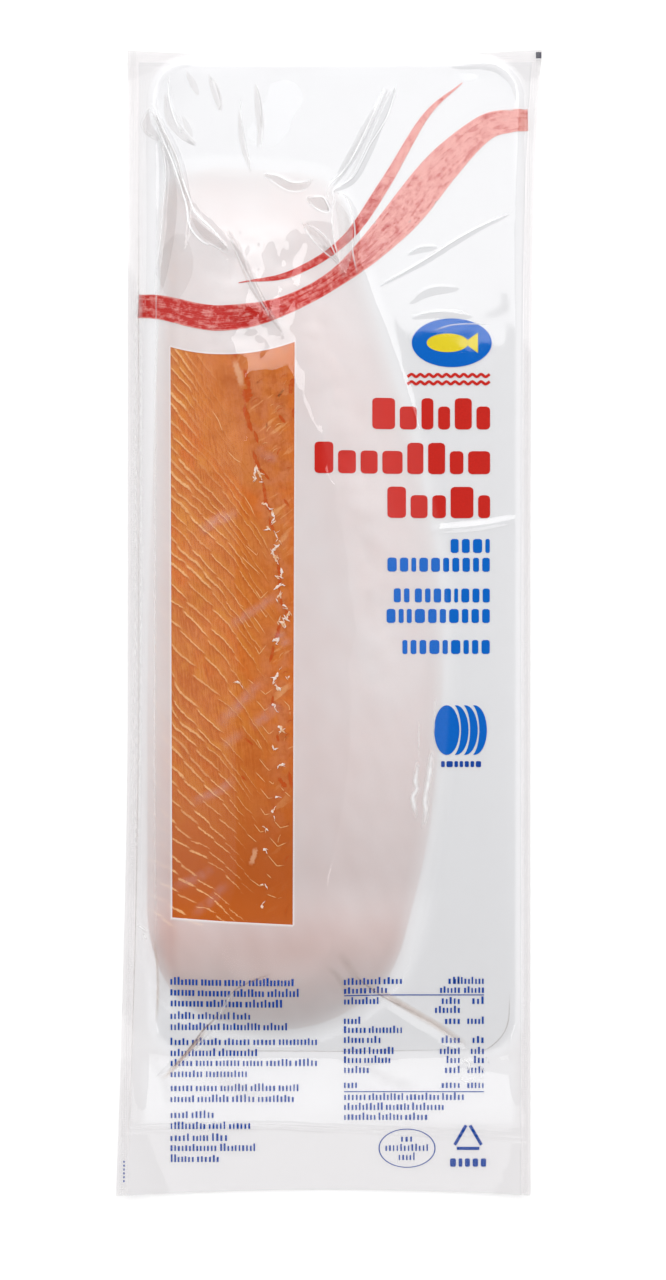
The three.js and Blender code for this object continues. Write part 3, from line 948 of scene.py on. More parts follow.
def makeBoard():
    # a stiff card with round corners and slightly softened edges
    deselectAll()
    width, length = board["right"] - board["left"], board["top"] - board["bottom"]
    x, y = (board["left"] + board["right"]) / 2, (board["top"] + board["bottom"]) / 2
    thickness = board["thickness"] - cardLook["above"]
    z = cardLook["above"] + thickness / 2
    bpy.ops.mesh.primitive_cube_add(size=1, location=(x * mm, y * mm, z * mm))
    card = bpy.context.active_object
    card.name = "board"
    card.scale = (width * mm, length * mm, thickness * mm)
    bpy.ops.object.transform_apply(location=True, rotation=True, scale=True)
    # the upright edges are rounded first
    card.data.vertices.foreach_set("select", np.zeros(8, bool))
    card.data.polygons.foreach_set("select", np.zeros(6, bool))
    places = pointsOf(card)
    for edge in card.data.edges:
        a, b = (places[i] for i in edge.vertices)
        edge.select = abs(a[2] - b[2]) > 0.5 * thickness * mm
    bpy.ops.object.mode_set(mode="EDIT")
    bpy.ops.mesh.select_mode(type="EDGE")
    bpy.ops.mesh.bevel(offset=board["cornerRadius"] * mm, segments=12)
    bpy.ops.object.mode_set(mode="OBJECT")
    soften = card.modifiers.new("soften", "BEVEL")
    soften.width = cardLook["softened"] * mm
    soften.segments = 2
    soften.limit_method = "ANGLE"
    bpy.ops.object.modifier_apply(modifier="soften")

    material, nodes, links, output = newMaterial("coatedBoard")
    feed, _, _, noise, blend, _ = nodeTools(material.node_tree)
    fibre = noise(350, 4)
    bump = addNode(nodes, "Bump", Strength=0.15, Distance=0.0002)
    feed(bump.inputs["Height"], fibre)
    coated = addNode(nodes, "BsdfPrincipled", Roughness=0.55)
    feed(coated.inputs["Base Color"], blend(fibre, *cardLook["tones"]))
    links.new(bump.outputs["Normal"], coated.inputs["Normal"])
    links.new(coated.outputs[0], output.inputs["Surface"])
    finishPiece(card, material, smooth=False)
    bpy.ops.object.shade_smooth_by_angle(angle=math.radians(35))
    print("board")


# The seam that runs down the fish below the window.
seamLine = softCurve([
    (-56, 172), (-55.8, 159), (-50.4, 140.4), (-48.6, 122.4), (-43.2, 107.4), (-40.2, 85.8), (-38.4, 72),
    (-33.6, 63), (-30, 48), (-29.4, 29.4), (-30, 14.4), (-26.4, 4.2), (-33.6, -12), (-34.8, -25.2),
    (-30, -39.6), (-33.6, -48.6), (-30, -63), (-28.8, -84), (-31.8, -104.4), (-34.2, -112.2),
    (-37.2, -123.6), (-38.4, -135), (-37.8, -156.6), (-39, -185),
])


def seamAt(y):
    order = np.argsort(seamLine[:, 1])
    return np.interp(y, seamLine[order, 1], seamLine[order, 0])


# The side of fish: its faces are closest together below the window, whose ends and left edge these are.
sideForm = {
    "columns": [8, 50, 24], "rows": [26, 190, 30], "windowEnds": (-182.0, 169.0), "windowLeft": -96.5,
    "windowWide": 76, "inset": 1.0, "pastBoard": 5.5, "aboveBoard": 0.15, "rimWide": 6, "rimHeight": 0.15,
}


def makeSalmon():
    columns, rows = sideForm["columns"], sideForm["rows"]
    salmon = addGrid("salmonSide", sum(columns), sum(rows))
    closeBelow(1)

    # where the outline is at each height on the pack
    line = fishLine
    levels = np.linspace(line[:, 1].min() + 0.5, line[:, 1].max() - 0.5, 400)
    lefts, rights = [], []
    for level in levels:
        crossings = [ax + (bx - ax) * (level - ay) / (by - ay)
                     for (ax, ay), (bx, by) in zip(line[:-1], line[1:]) if (ay > level) != (by > level)]
        lefts.append(min(crossings))
        rights.append(max(crossings))

    flat = pointsOf(salmon)
    column = (flat[:, 0] + 1) / 2 * sum(columns)
    row = (flat[:, 1] + 1) / 2 * sum(rows)
    y = onLines([levels[0], *sideForm["windowEnds"], levels[-1]], rows, row)
    inset, windowWide = sideForm["inset"], sideForm["windowWide"]
    left = np.maximum(np.interp(y, levels, lefts) + inset, board["left"] - sideForm["pastBoard"])
    right = np.interp(y, levels, rights) - inset
    inner = np.clip(np.minimum(right - left - 4, windowWide), 1, windowWide)
    windowLeft = np.maximum(left + 1, sideForm["windowLeft"])
    windowRight = np.minimum(windowLeft + inner, right - 1)
    x = onLines([left, windowLeft, windowRight, right], columns, column)
    base = board["thickness"] + sideForm["aboveBoard"]
    rim = smoothStep(0, sideForm["rimWide"], insideFish(x, y))
    low = sideForm["rimHeight"]
    top = base + (filmTop(x, y, folded=False) - webGap["fish"] - base) * (low + (1 - low) * rim)
    top = np.minimum(top, filmTop(x, y) - webGap["fish"])
    z = np.where(flat[:, 2] < -0.5, np.minimum(base, top - 0.2), top)
    setPoints(salmon, x, y, z)
    addFleshMasks(salmon)
    flesh = fleshMaterial()
    finishPiece(salmon, flesh)
    print("salmon", len(salmon.data.polygons), "faces")
    return flesh


# The flesh's tones, by what shows them.
fleshTones = {
    "base": (0.655, 0.180, 0.026, 1), "deep": (0.490, 0.096, 0.005, 1), "pale": (0.70, 0.240, 0.056, 1),
    "glow": (0.69, 0.158, 0.014, 1), "gold": (0.74, 0.292, 0.036, 1), "fat": (0.93, 0.53, 0.23, 1),
    "slit": (0.56, 0.080, 0.004, 1), "rosy": (0.65, 0.208, 0.080, 1), "rim": (0.55, 0.27, 0.17, 1),
    "bloom": (0.74, 0.37, 0.20, 1), "head": (0.34, 0.21, 0.18, 1),
}
# Clouds of tone in the flesh, from the lowest up: the noise's scale, detail, stretch and turn, the values
# between which a cloud comes in, its strength (or where across the seam it changes, and from what to what),
# and its tone.
fleshClouds = [
    (24, 4, (1, 1.8, 1), 0.6, (0.46, 0.70), 0.8, "deep"),
    (19, 3, (1, 1.7, 1), 0.7, (0.48, 0.70), 0.7, "pale"),
    (48, 3, (1, 2.5, 1), 0.5, (0.50, 0.70), 0.9, "glow"),
    (60, 3, None, 0, (0.50, 0.68), (-40.0, -12.0, 0.55, 0.0), "gold"),
    (85, 3, None, 0, (0.35, 0.60), (-16.0, 4.0, 0.0, 0.75), "rosy"),
    (130, 3, None, 0, (0.48, 0.62), (-10.0, 4.0, 0.15, 0.48), "deep"),
]
# How the flakes' edges lie: the gap from one to the next at the left, and each stretch of an edge.
flakes = {
    "left": -99.0, "gapAtTail": (6.9, 8.5), "gapAtHead": (9.6, 12.0), "stretch": (44, 26), "share": 0.60,
    "lean": 0.26, "scatter": 0.14, "halfWidths": (0.72, 0.34), "shade": 2.6, "gold": 4.5,
}


def fleshMaterial():
    tones = fleshTones
    material, nodes, links, output = newMaterial("smokedFlesh")
    feed, calc, ramp, noise, blend, attribute = nodeTools(material.node_tree)
    place = addNode(nodes, "SeparateXYZ")
    links.new(addNode(nodes, "TexCoord").outputs["Object"], place.inputs["Vector"])
    x = calc("MULTIPLY", place.outputs["X"], 1000.0)
    y = calc("MULTIPLY", place.outputs["Y"], 1000.0)
    across = attribute("acrossSeam")

    tone = tones["base"]
    for scale, detail, stretch, turn, between, strength, above in fleshClouds:
        cloud = ramp(noise(scale, detail, stretch=stretch, turn=turn), *between)
        strong = ramp(across, *strength) if isinstance(strength, tuple) else strength
        tone = blend(calc("MULTIPLY", cloud, strong), tone, tones[above])
    # beyond the seam, thin pale strokes bend away from it
    strokes = ramp(noise(260, 2, 0.5, stretch=(1, 5, 1), turn=math.radians(-52)), 0.60, 0.68)
    tone = blend(calc("MULTIPLY", strokes, ramp(across, -4.0, 3.0, 0.0, 0.42)), tone, tones["fat"])
    tone = blend(ramp(calc("MULTIPLY_ADD", noise(120, 2), 9.0, x), -22.5, -16.5, 0.0, 0.7), tone,
                 tones["glow"])
    # fine fibres run nearly along the fish, most plainly on its back
    fibres = noise(1300, 2, 0.6, stretch=(1, 16, 1), turn=math.radians(8))
    plain = ramp(across, -30.0, -8.0, 0.60, 0.20)
    tone = blend(calc("MULTIPLY", ramp(fibres, 0.5, 0.68), plain), tone, tones["pale"])
    tone = blend(calc("MULTIPLY", ramp(fibres, 0.5, 0.32), plain), tone, tones["deep"])
    mottle = noise(420, 3, 0.6)
    tone = blend(calc("MULTIPLY", ramp(mottle, 0.52, 0.7), 0.30), tone, tones["pale"])
    tone = blend(calc("MULTIPLY", ramp(mottle, 0.48, 0.3), 0.28), tone, tones["deep"])

    # the edges of the flakes: a pale line of fat, with painted shade in a darker band below it and painted
    # light in a golden band above it, as on each flake's lit side
    count, along, gap, fatness = (attribute(name) for name in ("flake", "along", "gap", "fatness"))
    edge = calc("FLOOR", calc("ADD", count, 0.5))
    wobble = calc("ADD", calc("MULTIPLY_ADD", noise(160, 2), 2.0, -1.0),
                  calc("MULTIPLY_ADD", noise(900, 2), 0.9, -0.45))

    def chance(first, second, third):
        corner = addNode(nodes, "CombineXYZ")
        for socket, value in zip(corner.inputs, (first, second, third)):
            feed(socket, value)
        drawn = addNode(nodes, "TexWhiteNoise", noise_dimensions="3D")
        links.new(corner.outputs[0], drawn.inputs["Vector"])
        split = addNode(nodes, "SeparateColor")
        links.new(drawn.outputs["Color"], split.inputs[0])
        return split.outputs

    ownPlace = chance(edge, 3.0, 7.0)
    # each edge ends at its own distance from the seam
    ownEnd = calc("MULTIPLY_ADD", ownPlace[1], 13.0, across)
    shown = calc("MULTIPLY", fatness, ramp(ownEnd, -8.0, -2.0, 1.0, 0.0))
    fat = shade = gold = 0.0
    for turn in (0.0, 0.5):
        at = calc("ADD", calc("ADD", along, calc("MULTIPLY", ownPlace[0], 1.7)), turn)
        stretch = calc("FLOOR", at)
        t = calc("SUBTRACT", at, stretch)
        drawn = chance(edge, stretch, 1.0 + turn)
        sway = calc("MULTIPLY_ADD", t, flakes["lean"] / flakes["share"], -0.5 * flakes["lean"])
        sway = calc("ADD", sway, calc("MULTIPLY_ADD", drawn[0], flakes["scatter"], -0.5 * flakes["scatter"]))
        fromEdge = calc("SUBTRACT", calc("SUBTRACT", count, edge), sway)
        off = calc("ADD", calc("MULTIPLY", fromEdge, gap), wobble)
        farEnd = ramp(t, flakes["share"] - 0.16, flakes["share"], 1.0, 0.0)
        ends = calc("MULTIPLY", ramp(t, 0.0, 0.07), farEnd)
        strength = calc("MULTIPLY", calc("MULTIPLY_ADD", drawn[1], 0.55, 0.45), calc("MULTIPLY", ends, shown))
        half = calc("MULTIPLY", ramp(x, -92.0, -48.0, *flakes["halfWidths"]),
                    calc("MULTIPLY_ADD", drawn[2], 0.6, 0.7))
        half = calc("MULTIPLY", half, calc("MULTIPLY_ADD", ends, 0.5, 0.5))
        line = ramp(calc("ABSOLUTE", off), calc("MULTIPLY", half, 0.4), half, 1.0, 0.0)
        fat = calc("MAXIMUM", fat, calc("MULTIPLY", line, strength))
        below = calc("MULTIPLY", ramp(off, -flakes["shade"], 0.0), ramp(off, 0.0, 0.5, 1.0, 0.0))
        shade = calc("MAXIMUM", shade, calc("MULTIPLY", below, calc("POWER", strength, 0.8)))
        above = calc("MULTIPLY", ramp(off, -0.4, 0.0), ramp(off, 0.0, flakes["gold"], 1.0, 0.0))
        gold = calc("MAXIMUM", gold, calc("MULTIPLY", above, calc("POWER", strength, 0.8)))
    fat = calc("MULTIPLY", fat, ramp(noise(700, 3), 0.28, 0.55, 0.55, 1.0))
    tone = blend(calc("MULTIPLY", shade, 0.92), tone, tones["deep"])
    tone = blend(calc("MULTIPLY", gold, 0.40), tone, tones["gold"])
    tone = blend(calc("MULTIPLY", attribute("rim"), 0.6), tone, tones["rim"])
    # painted shade: the flesh darkens towards the head end as the light falls off, and turns darker and greyer
    # still at the head end, where the film stands off the thick fish
    tone = blend(ramp(y, -50.0, -160.0, 0.0, 0.92), tone, tones["deep"])
    tone = blend(ramp(y, -172.0, -222.0, 0.0, 0.65), tone, tones["head"])
    # the marks on the flesh say how much of each of these they show
    grain = calc("MULTIPLY_ADD", noise(900, 3), 0.5, -0.25)

    def marked(name, low, high):
        amount = attribute(name)
        return ramp(calc("ADD", amount, calc("MULTIPLY", grain, ramp(amount, 0.0, 0.2))), low, high)

    fat = calc("MAXIMUM", fat, marked("fat", 0.06, 0.62))
    slit = calc("MULTIPLY", marked("slit", 0.05, 0.45), ramp(noise(420, 3), 0.30, 0.55, 0.55, 1.0))
    tone = blend(calc("MULTIPLY", fat, 0.92), tone, tones["fat"])
    tone = blend(slit, tone, tones["slit"])
    tone = blend(marked("bloom", 0.0, 1.0), tone, tones["bloom"])

    height = calc("MULTIPLY_ADD", mottle, 0.5, calc("MULTIPLY", fibres, 0.5))
    lowered = calc("ADD", slit, calc("MULTIPLY", shade, 0.7))
    height = calc("ADD", height, calc("SUBTRACT", calc("MULTIPLY", fat, 0.8), lowered))
    bump = addNode(nodes, "Bump", Strength=0.4, Distance=0.0004)
    feed(bump.inputs["Height"], height)
    flesh = addNode(nodes, "BsdfPrincipled", Roughness=0.42)
    flesh.inputs["Specular IOR Level"].default_value = 0.15
    feed(flesh.inputs["Base Color"], tone)
    links.new(bump.outputs["Normal"], flesh.inputs["Normal"])
    links.new(flesh.outputs[0], output.inputs["Surface"])
    return material


flakeWaves = makeNoise(31)


def flakeSlope(x, y):
    # how steeply the flakes' edges run down towards the seam: steepest where they hang by the back's edge
    slope = 1.05 + 0.45 * smoothStep(-74, -50, x) + 0.35 * smoothStep(85, 130, y)
    slope = slope - 0.45 * smoothStep(95, 172, -y)
    slope = slope + 2.0 * smoothStep(86, 97, -x) * np.exp(-((y + 38) / 22) ** 2)
    return np.maximum(0.35, slope + 0.65 * flakeWaves(x / 14, y / 14))


def flakeStarts():
    draw = np.random.default_rng(47)
    starts = [330.0]
    while starts[-1] > -320:
        starts.append(starts[-1] - draw.uniform(*flakes["gapAtTail" if starts[-1] > 45 else "gapAtHead"]))
    return np.array(starts[::-1])


def flakePlaces(x, y):
    # follows the edge through each point back to the left: which edge it is, and how many stretches along it
    steps = 40
    step = (x - flakes["left"]) / steps
    starts = flakeStarts()
    x, y = x.copy(), y.copy()
    long, short = flakes["stretch"]
    along = np.zeros(x.shape)
    for _ in range(steps):
        slope = flakeSlope(x, y)
        along += step * np.hypot(1, slope) / (long + (short - long) * smoothStep(60, 130, -y))
        x -= step
        y += step * slope
    return np.interp(y, starts, np.arange(len(starts))), along


def addFleshMasks(piece):
    x, y, _ = pointsOf(piece).T / mm
    count, along = flakePlaces(x, y)
    rise = np.hypot(flakePlaces(x + 0.5, y)[0] - count, flakePlaces(x, y + 0.5)[0] - count) / 0.5
    fatness = 1 - 0.45 * smoothStep(-72, -42, x)
    fatness = fatness * (1 - 0.85 * smoothStep(60, 105, y) * smoothStep(-90, -74, x))
    addMask(piece, "flake", count)
    addMask(piece, "along", along)
    addMask(piece, "gap", 1 / np.maximum(rise, 0.02))
    addMask(piece, "fatness", fatness * smoothStep(-184, -180, y))
    addMask(piece, "acrossSeam", x - seamAt(y))
    addMask(piece, "rim", 1 - smoothStep(0, 16, insideFish(x, y)))


# Thin ends of fat beside the seam, many with a short tick up to it.
fatTicks = [
    [(-50.7, 47.2), (-46, 42.9), (-43, 40.2), (-41.7, 43.4)],
    [(-53.7, 41.2), (-48.6, 36.1), (-43.5, 31.4), (-39.6, 27.9)],
    [(-45.2, 21.5), (-42.6, 17.7), (-40.7, 14.5), (-35.3, 19.8)],
    [(-41.7, 9.5), (-39.2, 6.1), (-37.3, 3.3), (-36.4, 6.1)],
    [(-46, 5.2), (-41.7, -0.8), (-37.5, -7.2)],
    [(-45.2, -12.3), (-43, -15.8), (-41.6, -18.6), (-36.6, -12.3)],
    [(-57.2, 17.2), (-53.7, 11.2), (-49.9, 8.8)], [(-51.2, 3.5), (-47.7, -2.1), (-45.3, -2.9)],
    [(-44.3, -45.3), (-40.9, -48.8), (-38.3, -52.2), (-35.3, -50.1)], [(-48.6, -33.3), (-44.3, -36.8)],
    [(-41.7, -39.3), (-37.9, -42.6), (-33.2, -39.3)],
    [(-40.9, -59.9), (-37.5, -64.2), (-35.7, -66.3), (-31.9, -63.3)],
    [(-43.5, -68.5), (-39.6, -75.8)], [(-42.6, -79.6), (-37.5, -86.1), (-35.6, -88), (-33.6, -86.7)],
    [(-36.2, -93.8), (-33.3, -96.1), (-32.5, -94.4)], [(-44.3, -88.2), (-37.5, -95.5)],
    [(-41.7, -97.6), (-36.2, -104.5), (-32.7, -104.1)], [(-41.3, -109.6), (-38.1, -114.3), (-34, -113.5)],
    [(-45.2, -119.1), (-40.9, -124.6), (-37.3, -123.8)], [(-49.5, -125.1), (-42.6, -131.1)],
    [(-48.6, -151.6), (-41.3, -156.8), (-36.6, -155.9)], [(-33.6, -116.9), (-28.9, -122.1), (-22, -120.3)],
    [(-36.6, -126.3), (-30.6, -133.2), (-23.7, -130.2)], [(-37.5, -137.1), (-31, -144.8), (-25.5, -144.3)],
    [(-29.7, -96.8), (-26.3, -100.6), (-22.2, -104.3)], [(-37.5, -149.1), (-34, -152.5)],
    [(-37.5, -161.5), (-30.6, -164.1)], [(-28, -45.3), (-23.7, -49.6), (-22.9, -56.5)],
    [(-61, 103), (-56, 97.6), (-51.4, 94.8)], [(-70.5, 128), (-66, 121), (-63, 113)],
    [(-52, 78), (-46.5, 69), (-43.6, 62)],
]
# The slit along the seam: how wide, and the line.
slits = [
    (1.3, [(-57, 171), (-56.3, 161.5), (-54.8, 155.7), (-52, 151)]),
    (3.4, [(-51.5, 152), (-50.2, 147), (-49.4, 141), (-48.7, 136), (-49.3, 130)]),
    (1.8, [(-49.8, 131), (-50.1, 127.4), (-48.6, 122.7), (-47.2, 117.4), (-45.4, 113)]),
    (1.1, [(-44.7, 114.9), (-43.6, 111.5), (-42.2, 106.7)]),
    (1.3, [(-45.4, 103), (-43.6, 97.4), (-42.0, 93.0), (-41, 88)]),
    (0.9, [(-41.3, 92.2), (-38.3, 88.8), (-35, 84.6)]),
    (1.4, [(-39.6, 85), (-38.3, 78.1), (-37.6, 71.8), (-35.6, 67.8), (-34.2, 64)]),
    (1.1, [(-35.6, 63.4), (-34.9, 59.7), (-32.5, 54.2)]),
    (1.1, [(-31, 40), (-29.3, 27), (-29.8, 22), (-29.3, 17)]),
    (1.1, [(-28.9, 15.2), (-28, 10)]), (1.4, [(-29, 0), (-30.1, -4), (-30.6, -7.2), (-32.2, -10.4)]),
    (1.0, [(-33.2, -13), (-33.6, -17.9), (-35.6, -24)]), (1.1, [(-33.3, -43), (-33.8, -50.4)]),
    (0.9, [(-31, -66.4), (-30, -71)]), (1.6, [(-30.2, -91.8), (-28, -95.1), (-25, -98.2)]),
    (0.9, [(-32.7, -108.8), (-32.3, -113)]), (0.8, [(-52.3, -90.9), (-49.3, -94.1)]),
    (0.8, [(-50.4, -68.4), (-44.8, -73)]),
    (2.0, [(-21, 146), (-22.5, 141), (-23, 136)]), (1.2, [(-30, 124), (-26, 119)]),
    (1.2, [(-21, 128), (-21.4, 122)]),
    (1.0, [(-27, 74), (-23.5, 69)]), (1.1, [(-26, 8), (-23, 2)]), (1.2, [(-24, -88), (-21.8, -99)]),
]
# Paler smears on the flesh: how wide, how strong, and the line.
blooms = [
    (5.5, 0.75, [(-57, 158), (-54.6, 151.5), (-52.8, 145.5), (-51.6, 139)]),
    (4.2, 0.8, [(-43.3, -133), (-44.7, -138.8), (-46.9, -145)]),
]


# Short pale and dark strokes of frayed flesh beyond the seam, each draw between its two limits.
fraying = {
    "count": 110, "along": (-176, 160), "beyondSeam": (1.5, 24), "angle": (0.9, 0.45), "length": (2, 7),
    "bend": (0.1, 0.8), "half": (0.25, 0.6), "paleShare": 0.55, "strength": (0.25, 0.5),
}


def bentStroke(x, y, first, angle, second, bend):
    # a short stroke's three points: so far one way, and then so far another way
    elbow = (x + first * math.cos(angle), y + first * math.sin(angle))
    return [(x, y), elbow, (elbow[0] + second * math.cos(bend), elbow[1] + second * math.sin(bend))]


def makeFleshMarks(material):
    # thin strips on the flesh, that say how much fat, open seam or pale smear they show
    draw = np.random.default_rng(47)
    strips = []

    def mark(line, offsets, lift, **shown):
        strip, step, row = addStrip(line, offsets, lift)
        t = step / (len(line) - 1)
        ends = np.minimum(1, 4 * np.minimum(t, 1 - t))
        for name in ("fat", "slit", "bloom"):
            addMask(strip, name, np.array(shown.get(name, (0, 0, 0, 0)))[row] * ends)
        strips.append(strip)

    for line in fatTicks:
        mark(evenly(line, 0.7), [-0.42, 0, 0.42], 0.12, fat=(0, 0.62, 0))
    for wide, line in slits:
        rough = evenly(softCurve(line), 0.6)
        ends = np.minimum(np.arange(len(rough)), np.arange(len(rough))[::-1]) / len(rough)
        uneven = (wide * draw.uniform(0.6, 1.15, len(rough)) * np.minimum(1, 0.3 + 3 * ends))[:, None]
        mark(rough, np.hstack([-uneven, -0.5 * uneven, 0.5 * uneven, uneven]), 0.14, slit=(0, 1, 1, 0))
    # the frayed strokes bend away from the seam
    for _ in range(fraying["count"]):
        y = draw.uniform(*fraying["along"])
        x = seamAt(y) + draw.uniform(*fraying["beyondSeam"])
        angle, length = draw.normal(*fraying["angle"]), draw.uniform(*fraying["length"])
        bend = angle - draw.uniform(*fraying["bend"])
        line = bentStroke(x, y, 0.5 * length, angle, 0.5 * length, bend)
        half = draw.uniform(*fraying["half"])
        kind = "fat" if draw.random() < fraying["paleShare"] else "slit"
        strength = draw.uniform(*fraying["strength"])
        mark(evenly(softCurve(line), 0.7), [-half, 0, half], 0.13, **{kind: (0, strength, 0)})
    for wide, strength, line in blooms:
        rough = evenly(softCurve(line), 0.8)
        uneven = wide * draw.uniform(0.35, 0.6, (len(rough), 2))
        sides = [-uneven[:, 0], -0.4 * uneven[:, 0], 0.4 * uneven[:, 1], uneven[:, 1]]
        mark(rough, np.stack(sides, axis=1), 0.2, bloom=(0, strength, strength, 0))
    piece = joinAll(strips, "fleshMarks")
    drape(piece, lambda x, y: filmTop(x, y, folded=False) - webGap["fish"])
    addFleshMasks(piece)
    finishPiece(piece, material)
    print("flesh marks", len(piece.data.polygons), "faces")


# Torn bits of pale membrane along the seam.
tornBits = [
    [(-43, 94.2), (-44.5, 88.4), (-41.7, 83.9)], [(-42.8, 91.1), (-40.9, 87.5), (-38.8, 82.7)],
    [(-40.2, 71), (-37.5, 70.8), (-35.4, 66.8)], [(-34.2, 66.3), (-32.5, 62.7), (-31.1, 60.1)],
    [(-37.3, 57.7), (-35.3, 55.6), (-34, 53.4)], [(-32.1, 53.4), (-30.6, 50.7), (-29.6, 48.6)],
    [(-28.7, 47.4), (-33.2, 43.8), (-33.5, 41.4), (-30.8, 37.8)], [(-33.8, 42.8), (-30.2, 45.9), (-28, 46.2)],
    [(-33.6, 42.9), (-32.7, 39.9), (-31, 36.3), (-29.7, 39.1), (-29.9, 41.9)],
    [(-29.3, 34.5), (-28, 30.5), (-28.4, 27.2), (-33, 28.4)], [(-31.9, 20.9), (-28.9, 22.5), (-27.2, 23.1)],
    [(-31.6, 14.5), (-28.9, 16.8), (-28.4, 12.8)], [(-28.6, 10.8), (-25.5, 9.9), (-23.5, 6.8)],
    [(-23.5, 6.9), (-25.5, 2.1), (-28, 3.1), (-30.8, 0.8)],
    [(-30.8, 0.9), (-26.7, 0.1), (-25.8, -2.5), (-28.9, -4.2)],
    [(-35.9, -12.3), (-32.7, -10.2), (-29.6, -8.8), (-31, -12.1), (-33.2, -13.5)],
    [(-55.2, -34.9), (-52.9, -35.9), (-51.9, -38.7)], [(-29.6, -28), (-31.9, -32.5), (-33.8, -36.6)],
    [(-23.6, -31.5), (-24.8, -34.9)], [(-31.5, -39.2), (-28.7, -39.3), (-29.7, -42.1)],
    [(-34.2, -48.9), (-31.9, -48.3), (-32.9, -51.2)],
    [(-32.1, -62.7), (-28.9, -61.6), (-27.9, -64.2), (-30.8, -65.2)],
    [(-33.8, -72.6), (-32.6, -75.5)], [(-29.9, -84.9), (-26.1, -83.9), (-28.2, -86.7)],
    [(-32.1, -104.1), (-29.9, -103.5)], [(-33.8, -111.3), (-33, -114.9)], [(-37.6, -122.3), (-36.1, -123.9)],
    [(-39, -134.3), (-37.3, -135.9)], [(-41.1, -156.1), (-37.3, -155.1)], [(-40.2, -168.2), (-39.4, -171.1)],
]


# How a bit is torn: its width, how many shreds hang from it, their length, bend and width, how high its middle
# curls, and its two tones.
tearing = {
    "wide": (0.9, 1.5), "shreds": (2, 5), "length": (1.0, 2.8), "bend": 0.6, "shredWide": (0.4, 0.9),
    "above": 0.24, "curl": (0.1, 0.45), "tones": ((0.95, 0.80, 0.72, 1), (0.88, 0.52, 0.28, 1)),
}


def makeTornFlesh():
    draw = np.random.default_rng(23)
    bits = []

    def addBit(line, wide, tip=0.25):
        # a flap of membrane, broad and jagged, that narrows to its tip
        line = evenly(line, 0.7)
        t = np.linspace(0, 1, len(line))
        taper = np.minimum(1, 0.35 + 3 * t) * (1 + (tip - 1) * t ** 2)
        left, right = (wide * draw.uniform(0.25, 1.0, len(line)) * taper for _ in range(2))
        bit, step, row = addStrip(line, np.stack([-right, 0 * left, left], axis=1))
        x, y, _ = pointsOf(bit).T / mm
        curl = draw.uniform(*tearing["curl"], len(line))[step]
        setPoints(bit, x, y, tearing["above"] + (row == 1) * curl)
        bits.append(bit)

    for line in tornBits:
        size = len(line) / 3
        rough = evenly(line, 0.8)
        first = int(draw.integers(0, max(1, len(rough) // 4)))
        addBit(rough[first:first + max(3, 3 * len(rough) // 4)], draw.uniform(*tearing["wide"]))
        for _ in range(int(draw.integers(*tearing["shreds"]) * size)):
            x, y = rough[draw.integers(0, len(rough))]
            angle, length = draw.uniform(0, 2 * math.pi), draw.uniform(*tearing["length"])
            bend = angle + draw.uniform(-tearing["bend"], tearing["bend"])
            shred = bentStroke(x, y, length, angle, 0.6 * length, bend)
            addBit(shred, draw.uniform(*tearing["shredWide"]), 0.05)
    piece = joinAll(bits, "tornFlesh")
    drape(piece, lambda x, y: filmTop(x, y, folded=False) - webGap["fish"])
    material, nodes, links, output = newMaterial("paleShreds")
    feed, _, ramp, noise, blend, _ = nodeTools(material.node_tree)
    membrane = addNode(nodes, "BsdfPrincipled", Roughness=0.3)
    feed(membrane.inputs["Base Color"], blend(ramp(noise(330, 3), 0.42, 0.62), *tearing["tones"]))
    links.new(membrane.outputs[0], output.inputs["Surface"])
    finishPiece(piece, material)
    print("torn bits", len(piece.data.polygons), "faces")


def brushStroke(columns, rows, shape):
    # a printed stroke that keeps how far along and across it each point is, for its brush marks
    patch = inkPatch(columns, rows, shape)
    flat = np.array([(u, v) for v in np.linspace(-1, 1, rows + 1) for u in np.linspace(-1, 1, columns + 1)])
    addMask(patch, "along", flat[:, 0])
    addMask(patch, "across", flat[:, 1])
    return patch


def strokeShape(line, widths):
    # a stroke along a smooth curve, with its width at even steps along it
    curve = softCurve(line, 16)
    steps = np.concatenate([[0], np.cumsum(np.hypot(*np.diff(curve, axis=0).T))])
    steps /= steps[-1]
    widthAlong = softCurve([(0, width) for width in widths], 16)[:, 1]
    turn = np.gradient(curve, axis=0)
    turn /= np.hypot(turn[:, :1], turn[:, 1:])

    def shape(u, v):
        t = (u + 1) / 2
        half = np.interp(t, np.linspace(0, 1, 16 * (len(widths) - 1) + 1), widthAlong) / 2
        x, y, tx, ty = (np.interp(t, steps, part) for part in (*curve.T, *turn.T))
        return x - ty * v * half, y + tx * v * half

    return shape


# Two brushed waves: one from the left of the print up to its right edge, and a thinner one above it.
waves = [
    {"line": [(-114.4, 190), (-100, 189), (-66, 182), (-30, 188), (6, 208), (40, 240), (68, 274), (92, 296),
              (108, 301), (119.3, 301.5)],
     "widths": [14, 15, 15, 11, 11, 17, 22, 21, 16, 13], "columns": 300, "rows": 16},
    {"line": [(-54, 203), (-22, 209), (10, 230), (34, 264), (58, 304), (80, 324)],
     "widths": [0.4, 4, 5, 7, 6, 4, 0.4], "columns": 170, "rows": 6},
]


def makeWaves():
    strokes = [brushStroke(wave["columns"], wave["rows"], strokeShape(wave["line"], wave["widths"]))
               for wave in waves]
    piece = joinAll(strokes, "redWaves")
    finishPiece(piece, brushedInk())
    print("waves")


brush = {
    "full": (0.56, 0.024, 0.018, 1), "dry": (0.87, 0.40, 0.36, 1), "streaks": ((1.8, 0.7, 1), (2.4, 2.4, 1)),
    "edge": (0.86, 1.0, 0.0, 0.14), "halves": (-0.25, 0.35, -0.07, 0.10), "drying": (0.66, 0.88),
    "cover": (0.90, 0.98, 0.97, 0.1),
}


